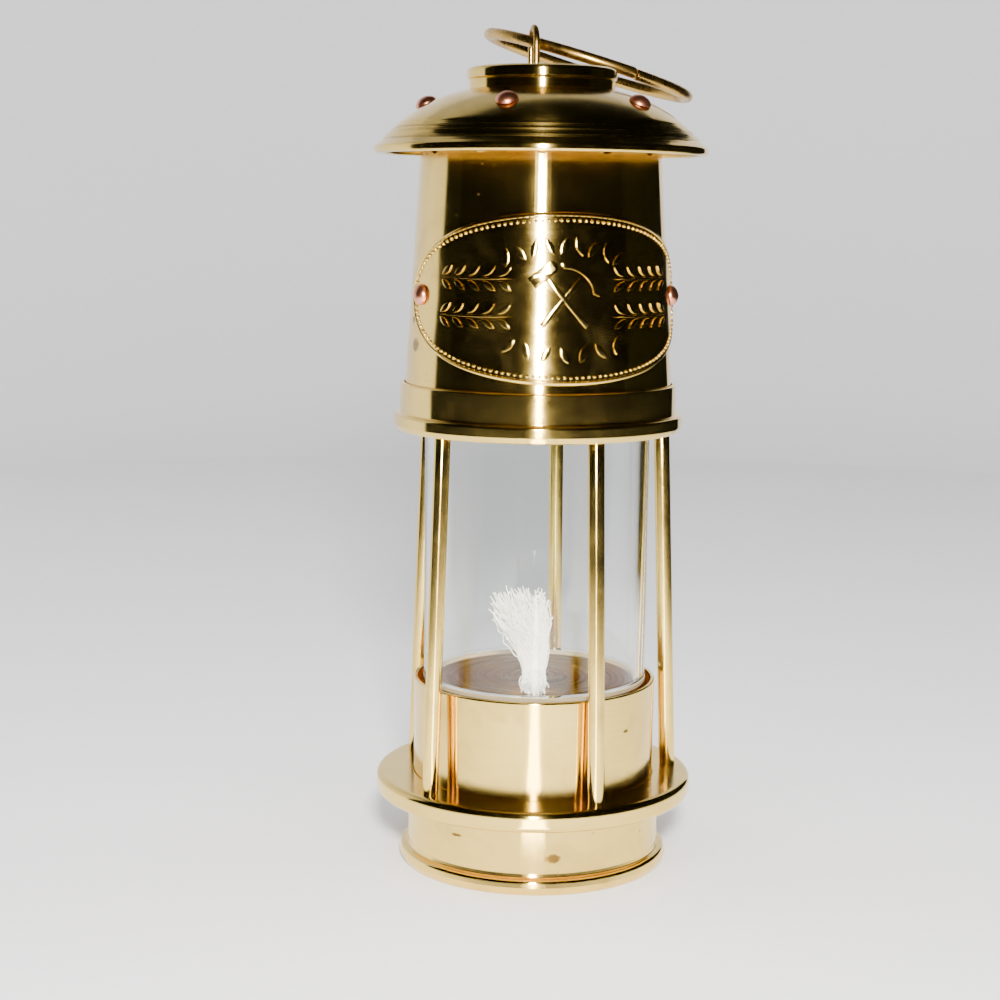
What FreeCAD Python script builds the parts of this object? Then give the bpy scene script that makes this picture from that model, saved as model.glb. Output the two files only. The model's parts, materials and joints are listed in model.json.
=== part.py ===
"""Miner's safety lamp: brass vessel, glass between two rings on splayed pillars, bonnet and hood.

The lamp stands on its foot.  The origin is the centre of the foot's bottom edge, +Z runs up the
lamp's axis and the front, where the name plate sits, faces -Y.  All sizes are in millimetres.
"""

import FreeCAD, Part
import math
import os

import Sketcher

doc = FreeCAD.newDocument("safety_lamp")


# ---------------------------------------------------------------- driving dimensions

DIMENSIONS = {
    # fuel vessel
    "foot_r": 40.5,
    "foot_bead_r": 2.4,
    "base_r": 38.0,
    "base_top_z": 20.6,
    "shell_wall": 1.2,
    "drum_r": 36.2,
    "drum_top_z": 55.9,
    "thread_r": 36.9,
    "thread_pitch": 1.5,
    "thread_depth": 0.5,
    "thread_play": 0.15,
    "plate_z": 54.2,
    "plate_thick": 1.3,
    "bottom_thick": 1.2,
    # burner
    "plug_r": 9.0,
    "plug_thick": 1.1,
    "plug_thread_r": 6.5,
    "plug_thread_depth": 8.0,
    "washer_thick": 0.6,
    "wick_tube_r": 4.3,
    "wick_tube_wall": 0.5,
    "wick_tube_foot_z": 26.0,
    "wick_r": 3.5,
    "wick_flare_r": 8.6,
    "wick_top_z": 81.0,
    # glass
    "glass_r": 33.3,
    "glass_wall": 2.6,
    "glass_foot_z": 56.5,
    "glass_top_z": 133.5,
    "gasket_thick": 1.2,
    # cage
    "flange_r": 47.5,
    "flange_low_z": 20.9,
    "flange_top_z": 27.0,
    "flange_round": 1.6,
    "flange_lip_tall": 0.8,
    "pillar_d": 4.7,
    "pillar_low_r": 41.5,
    "pillar_high_r": 37.5,
    "pillar_first_deg": -46.9,
    "lip_r": 42.6,
    "lip_low_z": 130.65,
    "lip_tall": 5.0,
    "collar_r": 40.7,
    "collar_top_z": 144.5,
    "pillar_seat_deep": 5.4,
    # bonnet and gauze
    "bonnet_low_r": 39.2,
    "bonnet_high_r": 35.05,
    "bonnet_wall": 1.0,
    "bonnet_foot_z": 137.6,
    "bonnet_top_z": 219.5,
    "vent_d": 6.0,
    "vent_z": 213.2,
    "vent_count": 12,
    "gauze_ring_r": 33.7,
    "gauze_ring_thick": 1.8,
    "gauze_low_r": 28.0,
    "gauze_high_r": 23.0,
    "gauze_wall": 0.7,
    "gauze_top_z": 204.0,
    # hood
    "hood_rim_r": 48.5,
    "hood_rim_low_z": 210.5,
    "hood_rim_tall": 3.0,
    "hood_thick": 1.3,
    "hood_bend_r": 44.0,
    "hood_seat_z": 228.9,
    "hood_bore_r": 12.0,
    "crown_inner_r": 29.2,
    "crown_outer_r": 36.2,
    "crown_skirt_r": 34.75,
    "crown_thick": 1.3,
    "rivet_head_d": 6.5,
    "rivet_shank_d": 3.2,
    "rivet_head_tall": 2.3,
    "hood_rivet_r": 33.4,
    "hood_rivet_first_deg": -17.7,
    # cap, staple and carrying ring
    "cap_r": 21.7,
    "cap_waist_r": 21.1,
    "cap_top_z": 235.3,
    "cap_band_z": 231.8,
    "cap_wall": 1.2,
    "staple_wire_d": 1.9,
    "staple_span": 10.4,
    "staple_tall": 13.5,
    "staple_x": -2.3,
    "staple_y": 14.0,
    "staple_turn_deg": -82.0,
    "ring_wire_d": 3.4,
    "ring_pitch_r": 32.0,
    "ring_x": 15.0,
    "ring_y": 40.6,
    "ring_z": 238.75,
    "ring_fall_right": 0.30,
    "ring_rise_back": 0.01,
    "ring_gap_deg": 1.0,
    "ring_gap_at_deg": -66.0,
    # name plate
    "plate_z_mid": 170.6,
    "plate_tall": 47.7,
    "plate_half_deg": 80.0,
    "plate_turn_deg": 9.5,
    "plate_sheet": 1.0,
    "plate_rivet_deg": 70.5,
    "plate_rivet_head_d": 6.0,
}
PILLARS = 5
HOOD_RIVETS = 5

sheet = doc.addObject("Spreadsheet::Sheet", "sizes")
for row, (alias, value) in enumerate(DIMENSIONS.items(), start=1):
    sheet.set(f"A{row}", alias)
    sheet.set(f"B{row}", str(value))
    sheet.setAlias(f"B{row}", alias)
doc.recompute()


class Size:
    """A length that knows its value and the expression that ties it to the sheet."""

    def __init__(self, value, text):
        self.value = float(value)
        self.text = text

    def _join(self, sign, other, value):
        return Size(value, f"({self.text} {sign} {size_of(other).text})")

    def __add__(self, other):
        return self._join("+", other, self.value + size_of(other).value)

    def __sub__(self, other):
        return self._join("-", other, self.value - size_of(other).value)

    def __mul__(self, other):
        return self._join("*", other, self.value * size_of(other).value)

    def __truediv__(self, other):
        return self._join("/", other, self.value / size_of(other).value)

    __radd__ = __add__
    __rmul__ = __mul__

    def __rsub__(self, other):
        return size_of(other) - self


def size_of(thing):
    """The Size for a plain number or a Size."""
    return thing if isinstance(thing, Size) else Size(thing, repr(float(thing)))


class Sheet:
    """Cells of the sheet by alias."""

    def __getattr__(self, alias):
        return Size(sheet.get(alias), f"sizes.{alias}")


cell = Sheet()
nodes = []


# ---------------------------------------------------------------- helpers

def origin_plane(body, role):
    """The body's own origin plane or axis with this role."""
    return next(item for item in body.Origin.OriginFeatures if item.Role == role)


def arc_centre(start, end, radius):
    """Centre of the arc from start to end; a positive radius turns anticlockwise."""
    along = (end[0] - start[0], end[1] - start[1])
    chord = math.hypot(*along)
    rise = math.sqrt(max(radius * radius - chord * chord / 4, 0.0))
    side = 1 if radius > 0 else -1
    return (
        (start[0] + end[0]) / 2 - side * rise * along[1] / chord,
        (start[1] + end[1]) / 2 + side * rise * along[0] / chord,
    )


def draw_outline(sketch, outline):
    """Closed outline of (x, y) or (x, y, radius) entries; the radius bends the edge that ends there.

    Each corner and radius is held by a constraint that reads the sheet.
    """
    corners = [(size_of(entry[0]), size_of(entry[1])) for entry in outline]
    bends = [size_of(entry[2]) if len(entry) > 2 else None for entry in outline]
    plain = [(x.value, y.value) for x, y in corners]
    ends = []
    for index in range(len(outline)):
        following = (index + 1) % len(outline)
        start, end, bend = plain[index], plain[following], bends[following]
        if bend is None:
            sketch.addGeometry(
                Part.LineSegment(FreeCAD.Vector(*start, 0), FreeCAD.Vector(*end, 0)), False)
            ends.append((1, 2))
            continue
        centre = arc_centre(start, end, bend.value)
        circle = Part.Circle(FreeCAD.Vector(*centre, 0), FreeCAD.Vector(0, 0, 1), abs(bend.value))
        first, last = (start, end) if bend.value > 0 else (end, start)
        angles = [math.atan2(point[1] - centre[1], point[0] - centre[0]) for point in (first, last)]
        sketch.addGeometry(Part.ArcOfCircle(circle, *angles), False)
        ends.append((1, 2) if bend.value > 0 else (2, 1))
    for index in range(len(outline)):
        following = (index + 1) % len(outline)
        sketch.addConstraint(Sketcher.Constraint(
            "Coincident", index, ends[index][1], following, ends[following][0]))
    for index, (x, y) in enumerate(corners):
        for kind, length in (("DistanceX", x), ("DistanceY", y)):
            name = f"{kind[-1].lower()}_{index}"
            number = sketch.addConstraint(
                Sketcher.Constraint(kind, index, ends[index][0], length.value))
            sketch.renameConstraint(number, name)
            sketch.setExpression(f"Constraints.{name}", length.text)
    for index, bend in enumerate(bends):
        if bend is not None:
            name = f"bend_{index}"
            number = sketch.addConstraint(
                Sketcher.Constraint("Radius", (index - 1) % len(outline), abs(bend.value)))
            sketch.renameConstraint(number, name)
            sketch.setExpression(f"Constraints.{name}", f"abs({bend.text})")


def new_sketch(body, name, role):
    """Sketch on one of the body's origin planes."""
    sketch = body.newObject("Sketcher::SketchObject", name)
    sketch.AttachmentSupport = (origin_plane(body, role), [""])
    sketch.MapMode = "FlatFace"
    return sketch


def new_body(label):
    """PartDesign body whose Label names its file."""
    body = doc.addObject("PartDesign::Body", label)
    body.Label = label
    return body


def turned(label, outline):
    """Body of revolution about the lamp's axis from an (r, z) outline."""
    body = new_body(label)
    sketch = new_sketch(body, f"{label}_profile", "XZ_Plane")
    draw_outline(sketch, outline)
    spin = body.newObject("PartDesign::Revolution", f"{label}_spin")
    spin.Profile = sketch
    spin.ReferenceAxis = (sketch, ["V_Axis"])
    spin.Angle = 360
    doc.recompute()
    nodes.append(body)
    return body


def shaped(label, shape):
    """Part feature holding a shape made with Part's own functions."""
    piece = doc.addObject("Part::Feature", label)
    piece.Label = label
    piece.Shape = shape
    nodes.append(piece)
    return piece


def polar(radius, degrees, height):
    """Point at an angle counted from the front (-Y) towards +X."""
    turn = math.radians(degrees)
    return FreeCAD.Vector(radius * math.sin(turn), -radius * math.cos(turn), height)


def spun_solid(outline):
    """Solid of revolution about Z from plain (r, z) points."""
    points = [FreeCAD.Vector(r, 0, z) for r, z in outline]
    face = Part.Face(Part.makePolygon(points + points[:1]))
    return face.revolve(FreeCAD.Vector(0, 0, 0), FreeCAD.Vector(0, 0, 1), 360)


def seated(shape, place, axis):
    """Copy of a shape made along +Z, moved to place with its +Z along axis."""
    moved = shape.copy()
    moved.Placement = FreeCAD.Placement(
        place, FreeCAD.Rotation(FreeCAD.Vector(0, 0, 1), axis))
    return moved


def ridges(radius, low, high, pitch, depth):
    """Outline points of a thread drawn as plain ridges, from low to high, crests at radius."""
    points = []
    count = int((high.value - low.value) / pitch.value)
    for turn in range(count):
        foot = low + pitch * turn
        points += [(radius - depth, foot + pitch * 0.15), (radius, foot + pitch * 0.45),
                   (radius, foot + pitch * 0.6), (radius - depth, foot + pitch * 0.9)]
    return points


# ---------------------------------------------------------------- fuel vessel

def make_vessel_shell():
    """Spun shell: rolled foot, lower drum, threaded neck and upper drum with its lip."""
    wall = cell.shell_wall
    bead = cell.foot_bead_r
    neck_foot = cell.base_top_z
    neck_top = cell.flange_top_z - cell.flange_lip_tall - 0.3
    inside = cell.drum_r - wall
    outline = [
        (cell.foot_r - bead, 0.0),
        (cell.foot_r, bead, bead),
        (cell.foot_r - bead, bead * 2, bead),
        (cell.base_r + 0.05, bead * 2 + 0.2),
        (cell.base_r, bead * 2 + 1.0),
        (cell.base_r, neck_foot - 0.5),
        (cell.base_r - 0.5, neck_foot, 0.5),
        (cell.thread_r - cell.thread_depth, neck_foot),
    ]
    outline += ridges(cell.thread_r, neck_foot + 0.3, neck_top, cell.thread_pitch, cell.thread_depth)
    outline += [
        (cell.drum_r, neck_top),
        (cell.drum_r, cell.drum_top_z - 0.4),
        (cell.drum_r - 0.4, cell.drum_top_z, 0.4),
        (cell.drum_r - 1.0, cell.drum_top_z),
        (cell.drum_r - 1.0, cell.plate_z),
        (inside - 1.2, cell.plate_z),
        (inside - 1.2, cell.plate_z - 1.2),
        (inside, cell.plate_z - 2.4),
        (inside, neck_foot + 1.0),
        (inside + 0.4, neck_foot - wall),
        (cell.base_r - wall, neck_foot - wall - 0.5),
        (cell.base_r - wall, cell.bottom_thick),
        (cell.base_r - wall - 1.4, cell.bottom_thick),
        (cell.base_r - wall - 1.4, 0.0),
    ]
    return turned("vessel_shell", outline)


def make_vessel_plate():
    """Top plate, dished inside the lip, with a threaded boss for the burner."""
    plate_r = cell.drum_r - 1.0
    low = cell.plate_z
    top = low + cell.plate_thick
    bore = cell.plug_thread_r + 0.05
    boss_foot = low - 7.0
    outline = [
        (cell.plug_r + 0.4, low + 0.3),
        (cell.plug_r + 0.4, top),
        (plate_r, top),
        (plate_r, low),
        (bore + 2.0, low),
        (bore + 2.0, boss_foot),
        (bore, boss_foot),
        (bore, low + 0.3),
    ]
    return turned("vessel_top_plate", outline)


def make_vessel_bottom():
    """Bottom plate, soldered inside the rolled foot."""
    radius = cell.base_r - cell.shell_wall - 1.4
    return turned("vessel_bottom_plate", [
        (0.0, 0.0),
        (radius, 0.0),
        (radius, cell.bottom_thick),
        (0.0, cell.bottom_thick),
    ])


def make_wadding():
    """Cotton wadding round the wick tube, packed loosely in the vessel."""
    inner = cell.plug_thread_r + 3.2
    outer = cell.drum_r - cell.shell_wall - 0.6
    return turned("cotton_wadding", [
        (inner, 4.0),
        (outer, 4.0),
        (outer, cell.plate_z - 9.0),
        (inner, cell.plate_z - 9.0),
    ])


# ---------------------------------------------------------------- burner and wick

def make_burner_washer():
    """Fibre washer under the burner plug."""
    low = cell.plate_z + 0.3
    return turned("burner_washer", [
        (cell.plug_thread_r + 0.3, low),
        (cell.plug_r - 0.2, low),
        (cell.plug_r - 0.2, low + cell.washer_thick),
        (cell.plug_thread_r + 0.3, low + cell.washer_thick),
    ])


def make_burner_plug():
    """Burner plug: flat head with a short threaded stem that holds the wick tube."""
    seat = cell.plate_z + 0.3 + cell.washer_thick
    top = seat + cell.plug_thick
    stem = cell.plug_thread_r
    bore = cell.wick_tube_r
    foot = seat - cell.plug_thread_depth
    outline = [
        (bore, foot),
        (stem - 0.6, foot),
        (stem, foot + 0.6),
        (stem, seat),
        (cell.plug_r, seat),
        (cell.plug_r, top - 0.4),
        (cell.plug_r - 0.4, top),
        (bore, top),
    ]
    return turned("burner_plug", outline)


def make_wick_tube():
    """Thin tube that guides the wick down into the fuel."""
    top = cell.plate_z + 0.3 + cell.washer_thick + cell.plug_thick + 0.6
    inner = cell.wick_tube_r - cell.wick_tube_wall
    return turned("wick_tube", [
        (inner, cell.wick_tube_foot_z),
        (cell.wick_tube_r, cell.wick_tube_foot_z),
        (cell.wick_tube_r, top),
        (inner, top),
    ])


def make_wick():
    """Cotton wick, plain solid: a round cord that flares where it is frayed."""
    flare_foot = cell.plate_z + 6.0
    return turned("wick", [
        (0.0, cell.wick_tube_foot_z - 16.0),
        (cell.wick_r, cell.wick_tube_foot_z - 16.0),
        (cell.wick_r, flare_foot),
        (cell.wick_flare_r, cell.wick_top_z - 6.0),
        (cell.wick_flare_r, cell.wick_top_z - 2.0),
        (cell.wick_flare_r - 2.5, cell.wick_top_z),
        (0.0, cell.wick_top_z),
    ])


# ---------------------------------------------------------------- glass

def make_glass():
    """Cylindrical glass chimney with lightly rounded ends."""
    outer = cell.glass_r
    inner = outer - cell.glass_wall
    low = cell.glass_foot_z
    top = cell.glass_top_z
    ease = 0.4
    return turned("glass_chimney", [
        (inner + ease, low, ease),
        (outer - ease, low),
        (outer, low + ease, ease),
        (outer, top - ease),
        (outer - ease, top, ease),
        (inner + ease, top),
        (inner, top - ease, ease),
        (inner, low + ease),
    ])


def make_gasket(label, low, thick):
    """Flat washer at one end of the glass."""
    inner = cell.glass_r - cell.glass_wall - 0.6
    outer = cell.glass_r + 0.2
    return turned(label, [
        (inner, low),
        (outer, low),
        (outer, low + thick),
        (inner, low + thick),
    ])


# ---------------------------------------------------------------- cage

def pillar_axis(index):
    """Foot point at the flange's underside and unit direction of one splayed pillar."""
    turn = cell.pillar_first_deg.value + index * 360 / PILLARS
    low = polar(cell.pillar_low_r.value, turn, cell.flange_top_z.value)
    high = polar(cell.pillar_high_r.value, turn, cell.lip_low_z.value)
    along = (high - low).normalize()
    foot = low - along * ((cell.flange_top_z.value - cell.flange_low_z.value) / along.z)
    return foot, along


def pillar_length():
    """Length along the splayed axis from the flange's underside to the blind seat above."""
    _, along = pillar_axis(0)
    rise = cell.lip_low_z.value + cell.pillar_seat_deep.value - cell.flange_low_z.value
    return rise / along.z


def pillar_tool(index, spare):
    """Cylinder along one pillar's axis, with spare length added at its lower end."""
    foot, along = pillar_axis(index)
    return Part.makeCylinder(
        cell.pillar_d.value / 2, pillar_length() + spare, foot - along * spare, along)


def cut_pillar_holes(label, blank):
    """Node made of a turned blank with the five pillar holes cut from it."""
    nodes.remove(blank)
    blank.Label = f"{label}_blank"
    shape = blank.Shape
    for index in range(PILLARS):
        shape = shape.cut(pillar_tool(index, 3.0))
    return shaped(label, shape)


def make_flange_ring():
    """Flange ring: rounded rim, threaded bore for the vessel, five holes for the pillars."""
    low = cell.flange_low_z
    top = cell.flange_top_z
    bore = cell.thread_r + cell.thread_play
    ease = cell.flange_round
    blank = turned("flange_blank", [
        (bore, low),
        (cell.flange_r - ease, low),
        (cell.flange_r, low + ease, ease),
        (cell.flange_r, top - ease),
        (cell.flange_r - ease, top, ease),
        (cell.drum_r + 0.15, top),
        (cell.drum_r + 0.15, top - cell.flange_lip_tall),
        (bore, top - cell.flange_lip_tall),
    ])
    return cut_pillar_holes("flange_ring", blank)


def make_glass_ring():
    """Ring above the glass: lip, collar, seats for the glass, the gauze and the bonnet."""
    low = cell.lip_low_z
    lip_top = low + cell.lip_tall
    shoulder = cell.glass_top_z + cell.gasket_thick + cell.gauze_ring_thick
    seat = cell.bonnet_foot_z
    bore = cell.glass_r + 0.4
    blank = turned("glass_ring_blank", [
        (bore, low),
        (cell.lip_r - 1.6, low),
        (cell.lip_r, low + 1.6, 1.6),
        (cell.lip_r, lip_top - 0.7),
        (cell.lip_r - 0.7, lip_top, 0.7),
        (cell.collar_r, lip_top),
        (cell.collar_r, cell.collar_top_z - 0.8),
        (cell.collar_r - 0.8, cell.collar_top_z, 0.8),
        (cell.bonnet_low_r + 0.35, cell.collar_top_z),
        (cell.bonnet_low_r + 0.35, seat),
        (cell.gauze_low_r + 2.4, seat),
        (cell.gauze_low_r + 2.4, shoulder),
        (bore, shoulder),
    ])
    return cut_pillar_holes("glass_ring", blank)


def make_pillars():
    """Five plain rods, each riveted over flush with the flange's underside."""
    for index in range(PILLARS):
        foot, along = pillar_axis(index)
        rod = doc.addObject("Part::Cylinder", f"pillar_{index + 1}")
        rod.Label = f"pillar_{index + 1}"
        rod.setExpression("Radius", f"{cell.pillar_d.text} / 2")
        rod.Height = pillar_length()
        rod.Placement = FreeCAD.Placement(
            foot, FreeCAD.Rotation(FreeCAD.Vector(0, 0, 1), along))
        nodes.append(rod)


# ---------------------------------------------------------------- bonnet and gauze

def make_gauze_ring():
    """Brass seat ring that carries the gauze, clamped above the upper glass washer."""
    low = cell.glass_top_z + cell.gasket_thick
    top = low + cell.gauze_ring_thick
    inner = cell.gauze_low_r
    return turned("gauze_ring", [
        (inner, low),
        (cell.gauze_ring_r, low),
        (cell.gauze_ring_r, top),
        (inner + 1.6, top),
        (inner + 1.6, top + 3.0),
        (inner, top + 3.0),
    ])


def make_gauze():
    """Gauze thimble, closed at its top: a thin tapered shell standing in the gauze ring."""
    low = cell.glass_top_z + cell.gasket_thick
    wall = cell.gauze_wall
    top = cell.gauze_top_z
    foot_r = cell.gauze_low_r
    head_r = cell.gauze_high_r
    return turned("gauze", [
        (foot_r - wall, low),
        (foot_r, low),
        (foot_r, low + cell.gauze_ring_thick + 3.0),
        (head_r, top - 1.0),
        (head_r - 1.0, top, 1.0),
        (0.0, top),
        (0.0, top - wall),
        (head_r - 1.0 - wall, top - wall),
        (foot_r - wall, low + cell.gauze_ring_thick + 3.0),
    ])


def bonnet_radius(height):
    """Outer radius of the tapered bonnet at a height between the collar and the hood."""
    low = cell.collar_top_z
    slope = (cell.bonnet_high_r - cell.bonnet_low_r) / (cell.hood_rim_low_z - low)
    return cell.bonnet_low_r + slope * (height - low)


def make_bonnet():
    """Tapered sheet tube with a ring of vent holes under the hood."""
    wall = cell.bonnet_wall
    foot = cell.bonnet_foot_z
    knee = cell.collar_top_z
    top = cell.bonnet_top_z
    blank = turned("bonnet_blank", [
        (cell.bonnet_low_r - wall, foot),
        (cell.bonnet_low_r, foot),
        (cell.bonnet_low_r, knee),
        (bonnet_radius(top), top),
        (bonnet_radius(top) - wall, top),
        (cell.bonnet_low_r - wall, knee),
    ])
    nodes.remove(blank)
    shape = blank.Shape
    count = int(cell.vent_count.value)
    for index in range(count):
        outward = polar(1, 360 * index / count, 0)
        shape = shape.cut(Part.makeCylinder(
            cell.vent_d.value / 2, cell.bonnet_low_r.value,
            FreeCAD.Vector(0, 0, cell.vent_z.value), outward))
    return shaped("bonnet", shape.cut(plate_rivet_holes()))


# ---------------------------------------------------------------- hood and cap

def hood_skin(drop):
    """Outline of the hood's crown from seat to rim, lowered by drop, as (r, z) entries."""
    rim_top = cell.hood_rim_low_z + cell.hood_rim_tall
    seat = cell.hood_seat_z
    return [
        (cell.cap_r + 0.1, seat - drop),
        (cell.hood_rim_r - 2.2 - drop * 0.85, rim_top + 0.8 - drop, drop - cell.hood_bend_r),
    ]


def hood_arc(drop):
    """Centre and radius of the hood's arc, lowered by drop."""
    (r0, z0), (r1, z1, bend) = hood_skin(size_of(drop))
    return arc_centre((r0.value, z0.value), (r1.value, z1.value), bend.value), abs(bend.value)


def hood_height(radius, drop=0.0):
    """Height of the hood's skin above a radius: its outside, or its underside for a drop."""
    centre, bend = hood_arc(drop)
    return centre[1] + math.sqrt(bend * bend - (radius - centre[0]) ** 2)


def hood_normal(radius):
    """Outward unit normal (r, z) of the hood's skin at a radius."""
    centre, bend = hood_arc(0.0)
    return (radius - centre[0]) / bend, (hood_height(radius) - centre[1]) / bend


def make_hood():
    """Spun hood: flat seat for the cap, convex crown and a rolled rim."""
    thick = cell.hood_thick
    seat = cell.hood_seat_z
    rim_low = cell.hood_rim_low_z
    rim_top = rim_low + cell.hood_rim_tall
    rim_r = cell.hood_rim_r
    outer = hood_skin(size_of(0.0))
    inner = hood_skin(thick)
    blank = turned("hood_blank", [
        (cell.hood_bore_r, seat),
        outer[0],
        outer[1],
        (rim_r - 1.2, rim_top),
        (rim_r, rim_top - 1.2, -1.2),
        (rim_r, rim_low + 0.9),
        (rim_r - 0.9, rim_low, -0.9),
        (rim_r - 2.4, rim_low),
        (rim_r - 2.4, rim_top - thick),
        (inner[1][0], inner[1][1]),
        (inner[0][0], inner[0][1], cell.hood_bend_r - thick),
        (cell.hood_bore_r, seat - thick),
    ])
    nodes.remove(blank)
    return shaped("hood", blank.Shape.cut(rivet_holes()))


def make_crown():
    """Crown ring: a tapered ring under the hood, with a skirt round the bonnet's top."""
    thick = cell.crown_thick.value
    inner_r = cell.crown_inner_r.value
    outer_r = cell.crown_outer_r.value
    skirt_r = cell.crown_skirt_r.value
    skirt_foot = cell.vent_z.value + cell.vent_d.value / 2 + 0.6
    steps = 6
    radii = [inner_r + (outer_r - inner_r) * step / steps for step in range(steps + 1)]
    upper = [(radius, hood_height(radius, cell.hood_thick.value) - 0.05) for radius in radii]
    lower = [(radius, height - thick) for radius, height in upper if radius < skirt_r]
    corner = hood_height(skirt_r, cell.hood_thick.value) - 0.05 - thick
    outline = upper + [(outer_r, skirt_foot), (skirt_r, skirt_foot), (skirt_r, corner)]
    return shaped("crown_ring", spun_solid(outline + lower[::-1]).cut(rivet_holes()))


def rivet_seats():
    """Place and outward axis of each hood rivet on the hood's skin."""
    radius = cell.hood_rivet_r.value
    normal_r, normal_z = hood_normal(radius)
    for index in range(HOOD_RIVETS):
        turn = cell.hood_rivet_first_deg.value + index * 360 / HOOD_RIVETS
        place = polar(radius, turn, hood_height(radius))
        axis = polar(normal_r, turn, normal_z)
        yield place, axis


def rivet_holes():
    """The hood rivets' shanks as one tool for cutting their holes."""
    shank_r = cell.rivet_shank_d.value / 2
    tools = [Part.makeCylinder(shank_r, 12, place - axis * 6, axis) for place, axis in rivet_seats()]
    return tools[0].fuse(tools[1:])


def rivet(head_d, head_tall, shank_d, grip, tail_tall):
    """Domed rivet along +Z: head above 0, shank through the grip, set tail below it."""
    head_r = head_d / 2
    ball_r = (head_r ** 2 + head_tall ** 2) / (2 * head_tall)
    ball = Part.makeSphere(ball_r, FreeCAD.Vector(0, 0, head_tall - ball_r))
    head = ball.common(Part.makeCylinder(head_r, head_tall))
    shank = Part.makeCylinder(shank_d / 2, grip + tail_tall / 2, FreeCAD.Vector(0, 0, -grip - tail_tall / 2))
    tail = Part.makeCone(
        shank_d * 0.75, shank_d * 0.55, tail_tall, FreeCAD.Vector(0, 0, -grip), FreeCAD.Vector(0, 0, -1))
    return head.fuse([shank, tail]).removeSplitter()


def make_hood_rivets():
    """Five copper rivets that hold the hood to the crown ring."""
    grip = cell.hood_thick.value + cell.crown_thick.value + 0.5
    pattern = rivet(cell.rivet_head_d.value, cell.rivet_head_tall.value,
                    cell.rivet_shank_d.value, grip, 1.2)
    solids = [seated(pattern, place, axis) for place, axis in rivet_seats()]
    return shaped("hood_rivets", Part.makeCompound(solids))


def make_cap():
    """Cap: inverted shallow cup with a narrower waist, pierced for the staple's legs."""
    top = cell.cap_top_z
    wall = cell.cap_wall
    blank = turned("cap_blank", [
        (0.0, top - wall),
        (0.0, top),
        (cell.cap_r - 0.7, top),
        (cell.cap_r, top - 0.7, -0.7),
        (cell.cap_r, cell.cap_band_z + 0.3),
        (cell.cap_waist_r, cell.cap_band_z - 0.3),
        (cell.cap_waist_r, cell.hood_seat_z),
        (cell.cap_waist_r - wall, cell.hood_seat_z),
        (cell.cap_waist_r - wall, top - wall - 0.8),
        (cell.cap_waist_r - wall - 0.8, top - wall, 0.8),
    ])
    nodes.remove(blank)
    holes = [Part.makeCylinder(cell.staple_wire_d.value / 2, 20, foot - FreeCAD.Vector(0, 0, 10))
             for foot in staple_feet()]
    return shaped("cap", blank.Shape.cut(holes[0]).cut(holes[1]))


# ---------------------------------------------------------------- staple and carrying ring

def staple_feet():
    """Where the staple's two legs enter the cap's top."""
    half = cell.staple_span.value / 2
    turn = math.radians(cell.staple_turn_deg.value)
    across = FreeCAD.Vector(math.cos(turn), math.sin(turn), 0)
    middle = FreeCAD.Vector(cell.staple_x.value, cell.staple_y.value, cell.cap_top_z.value)
    return [middle - across * half, middle + across * half]


def tube_along(path, start, along, diameter):
    """Round wire swept along a path that starts at start, pointing along."""
    section = Part.Wire(Part.Circle(start, along, diameter / 2).toShape())
    return path.makePipeShell([section], True, True)


def make_staple():
    """Wire staple: two legs through the cap, joined by a half-round bow."""
    left, right = staple_feet()
    radius = (right - left).Length / 2
    up = FreeCAD.Vector(0, 0, 1)
    below = FreeCAD.Vector(0, 0, -cell.cap_wall.value - 1.6)
    rise = up * (cell.staple_tall.value - cell.staple_wire_d.value / 2 - radius)
    crown = (left + right) * 0.5 + rise + up * radius
    path = Part.Wire([
        Part.LineSegment(left + below, left + rise).toShape(),
        Part.Arc(left + rise, crown, right + rise).toShape(),
        Part.LineSegment(right + rise, right + below).toShape(),
    ])
    return shaped("hanger_staple", tube_along(path, left + below, up, cell.staple_wire_d.value))


def ring_placement():
    """Placement of the carrying ring's circle as it leans on the cap's edge."""
    normal = FreeCAD.Vector(cell.ring_fall_right.value, -cell.ring_rise_back.value, 1).normalize()
    across = FreeCAD.Vector(1, 0, -cell.ring_fall_right.value).normalize()
    turn = FreeCAD.Rotation(across, normal.cross(across), normal, "ZXY")
    place = FreeCAD.Vector(cell.ring_x.value, cell.ring_y.value, cell.ring_z.value)
    return FreeCAD.Placement(place, turn)


def make_carry_ring():
    """Carrying ring: round wire bent to a circle, its ends meeting in an open butt joint."""
    gap = cell.ring_gap_deg.value
    torus = doc.addObject("Part::Torus", "carry_ring")
    torus.Label = "carry_ring"
    torus.setExpression("Radius1", cell.ring_pitch_r.text)
    torus.setExpression("Radius2", f"{cell.ring_wire_d.text} / 2")
    torus.setExpression("Angle3", f"360 - {cell.ring_gap_deg.text}")
    about = FreeCAD.Rotation(FreeCAD.Vector(0, 0, 1), cell.ring_gap_at_deg.value + gap / 2)
    torus.Placement = ring_placement().multiply(
        FreeCAD.Placement(FreeCAD.Vector(0, 0, 0), about))
    nodes.append(torus)
    return torus


# ---------------------------------------------------------------- name plate

PLATE_AIR = 0.05
TAPER = (cell.bonnet_low_r.value - cell.bonnet_high_r.value) / (
    cell.hood_rim_low_z.value - cell.collar_top_z.value)


def plate_section(share):
    """Upright rectangle through the plate at a share from -1 to 1 of its half width."""
    angle = cell.plate_turn_deg.value + cell.plate_half_deg.value * share
    tall = cell.plate_tall.value / 2 * math.sqrt(max(1 - share * share, 0.002))
    corners = []
    for offset, way in ((PLATE_AIR, -1), (PLATE_AIR + cell.plate_sheet.value, -1),
                        (PLATE_AIR + cell.plate_sheet.value, 1), (PLATE_AIR, 1)):
        height = cell.plate_z_mid.value + way * tall
        corners.append(polar(bonnet_radius(size_of(height)).value + offset, angle, height))
    return Part.makePolygon(corners + corners[:1])


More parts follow.
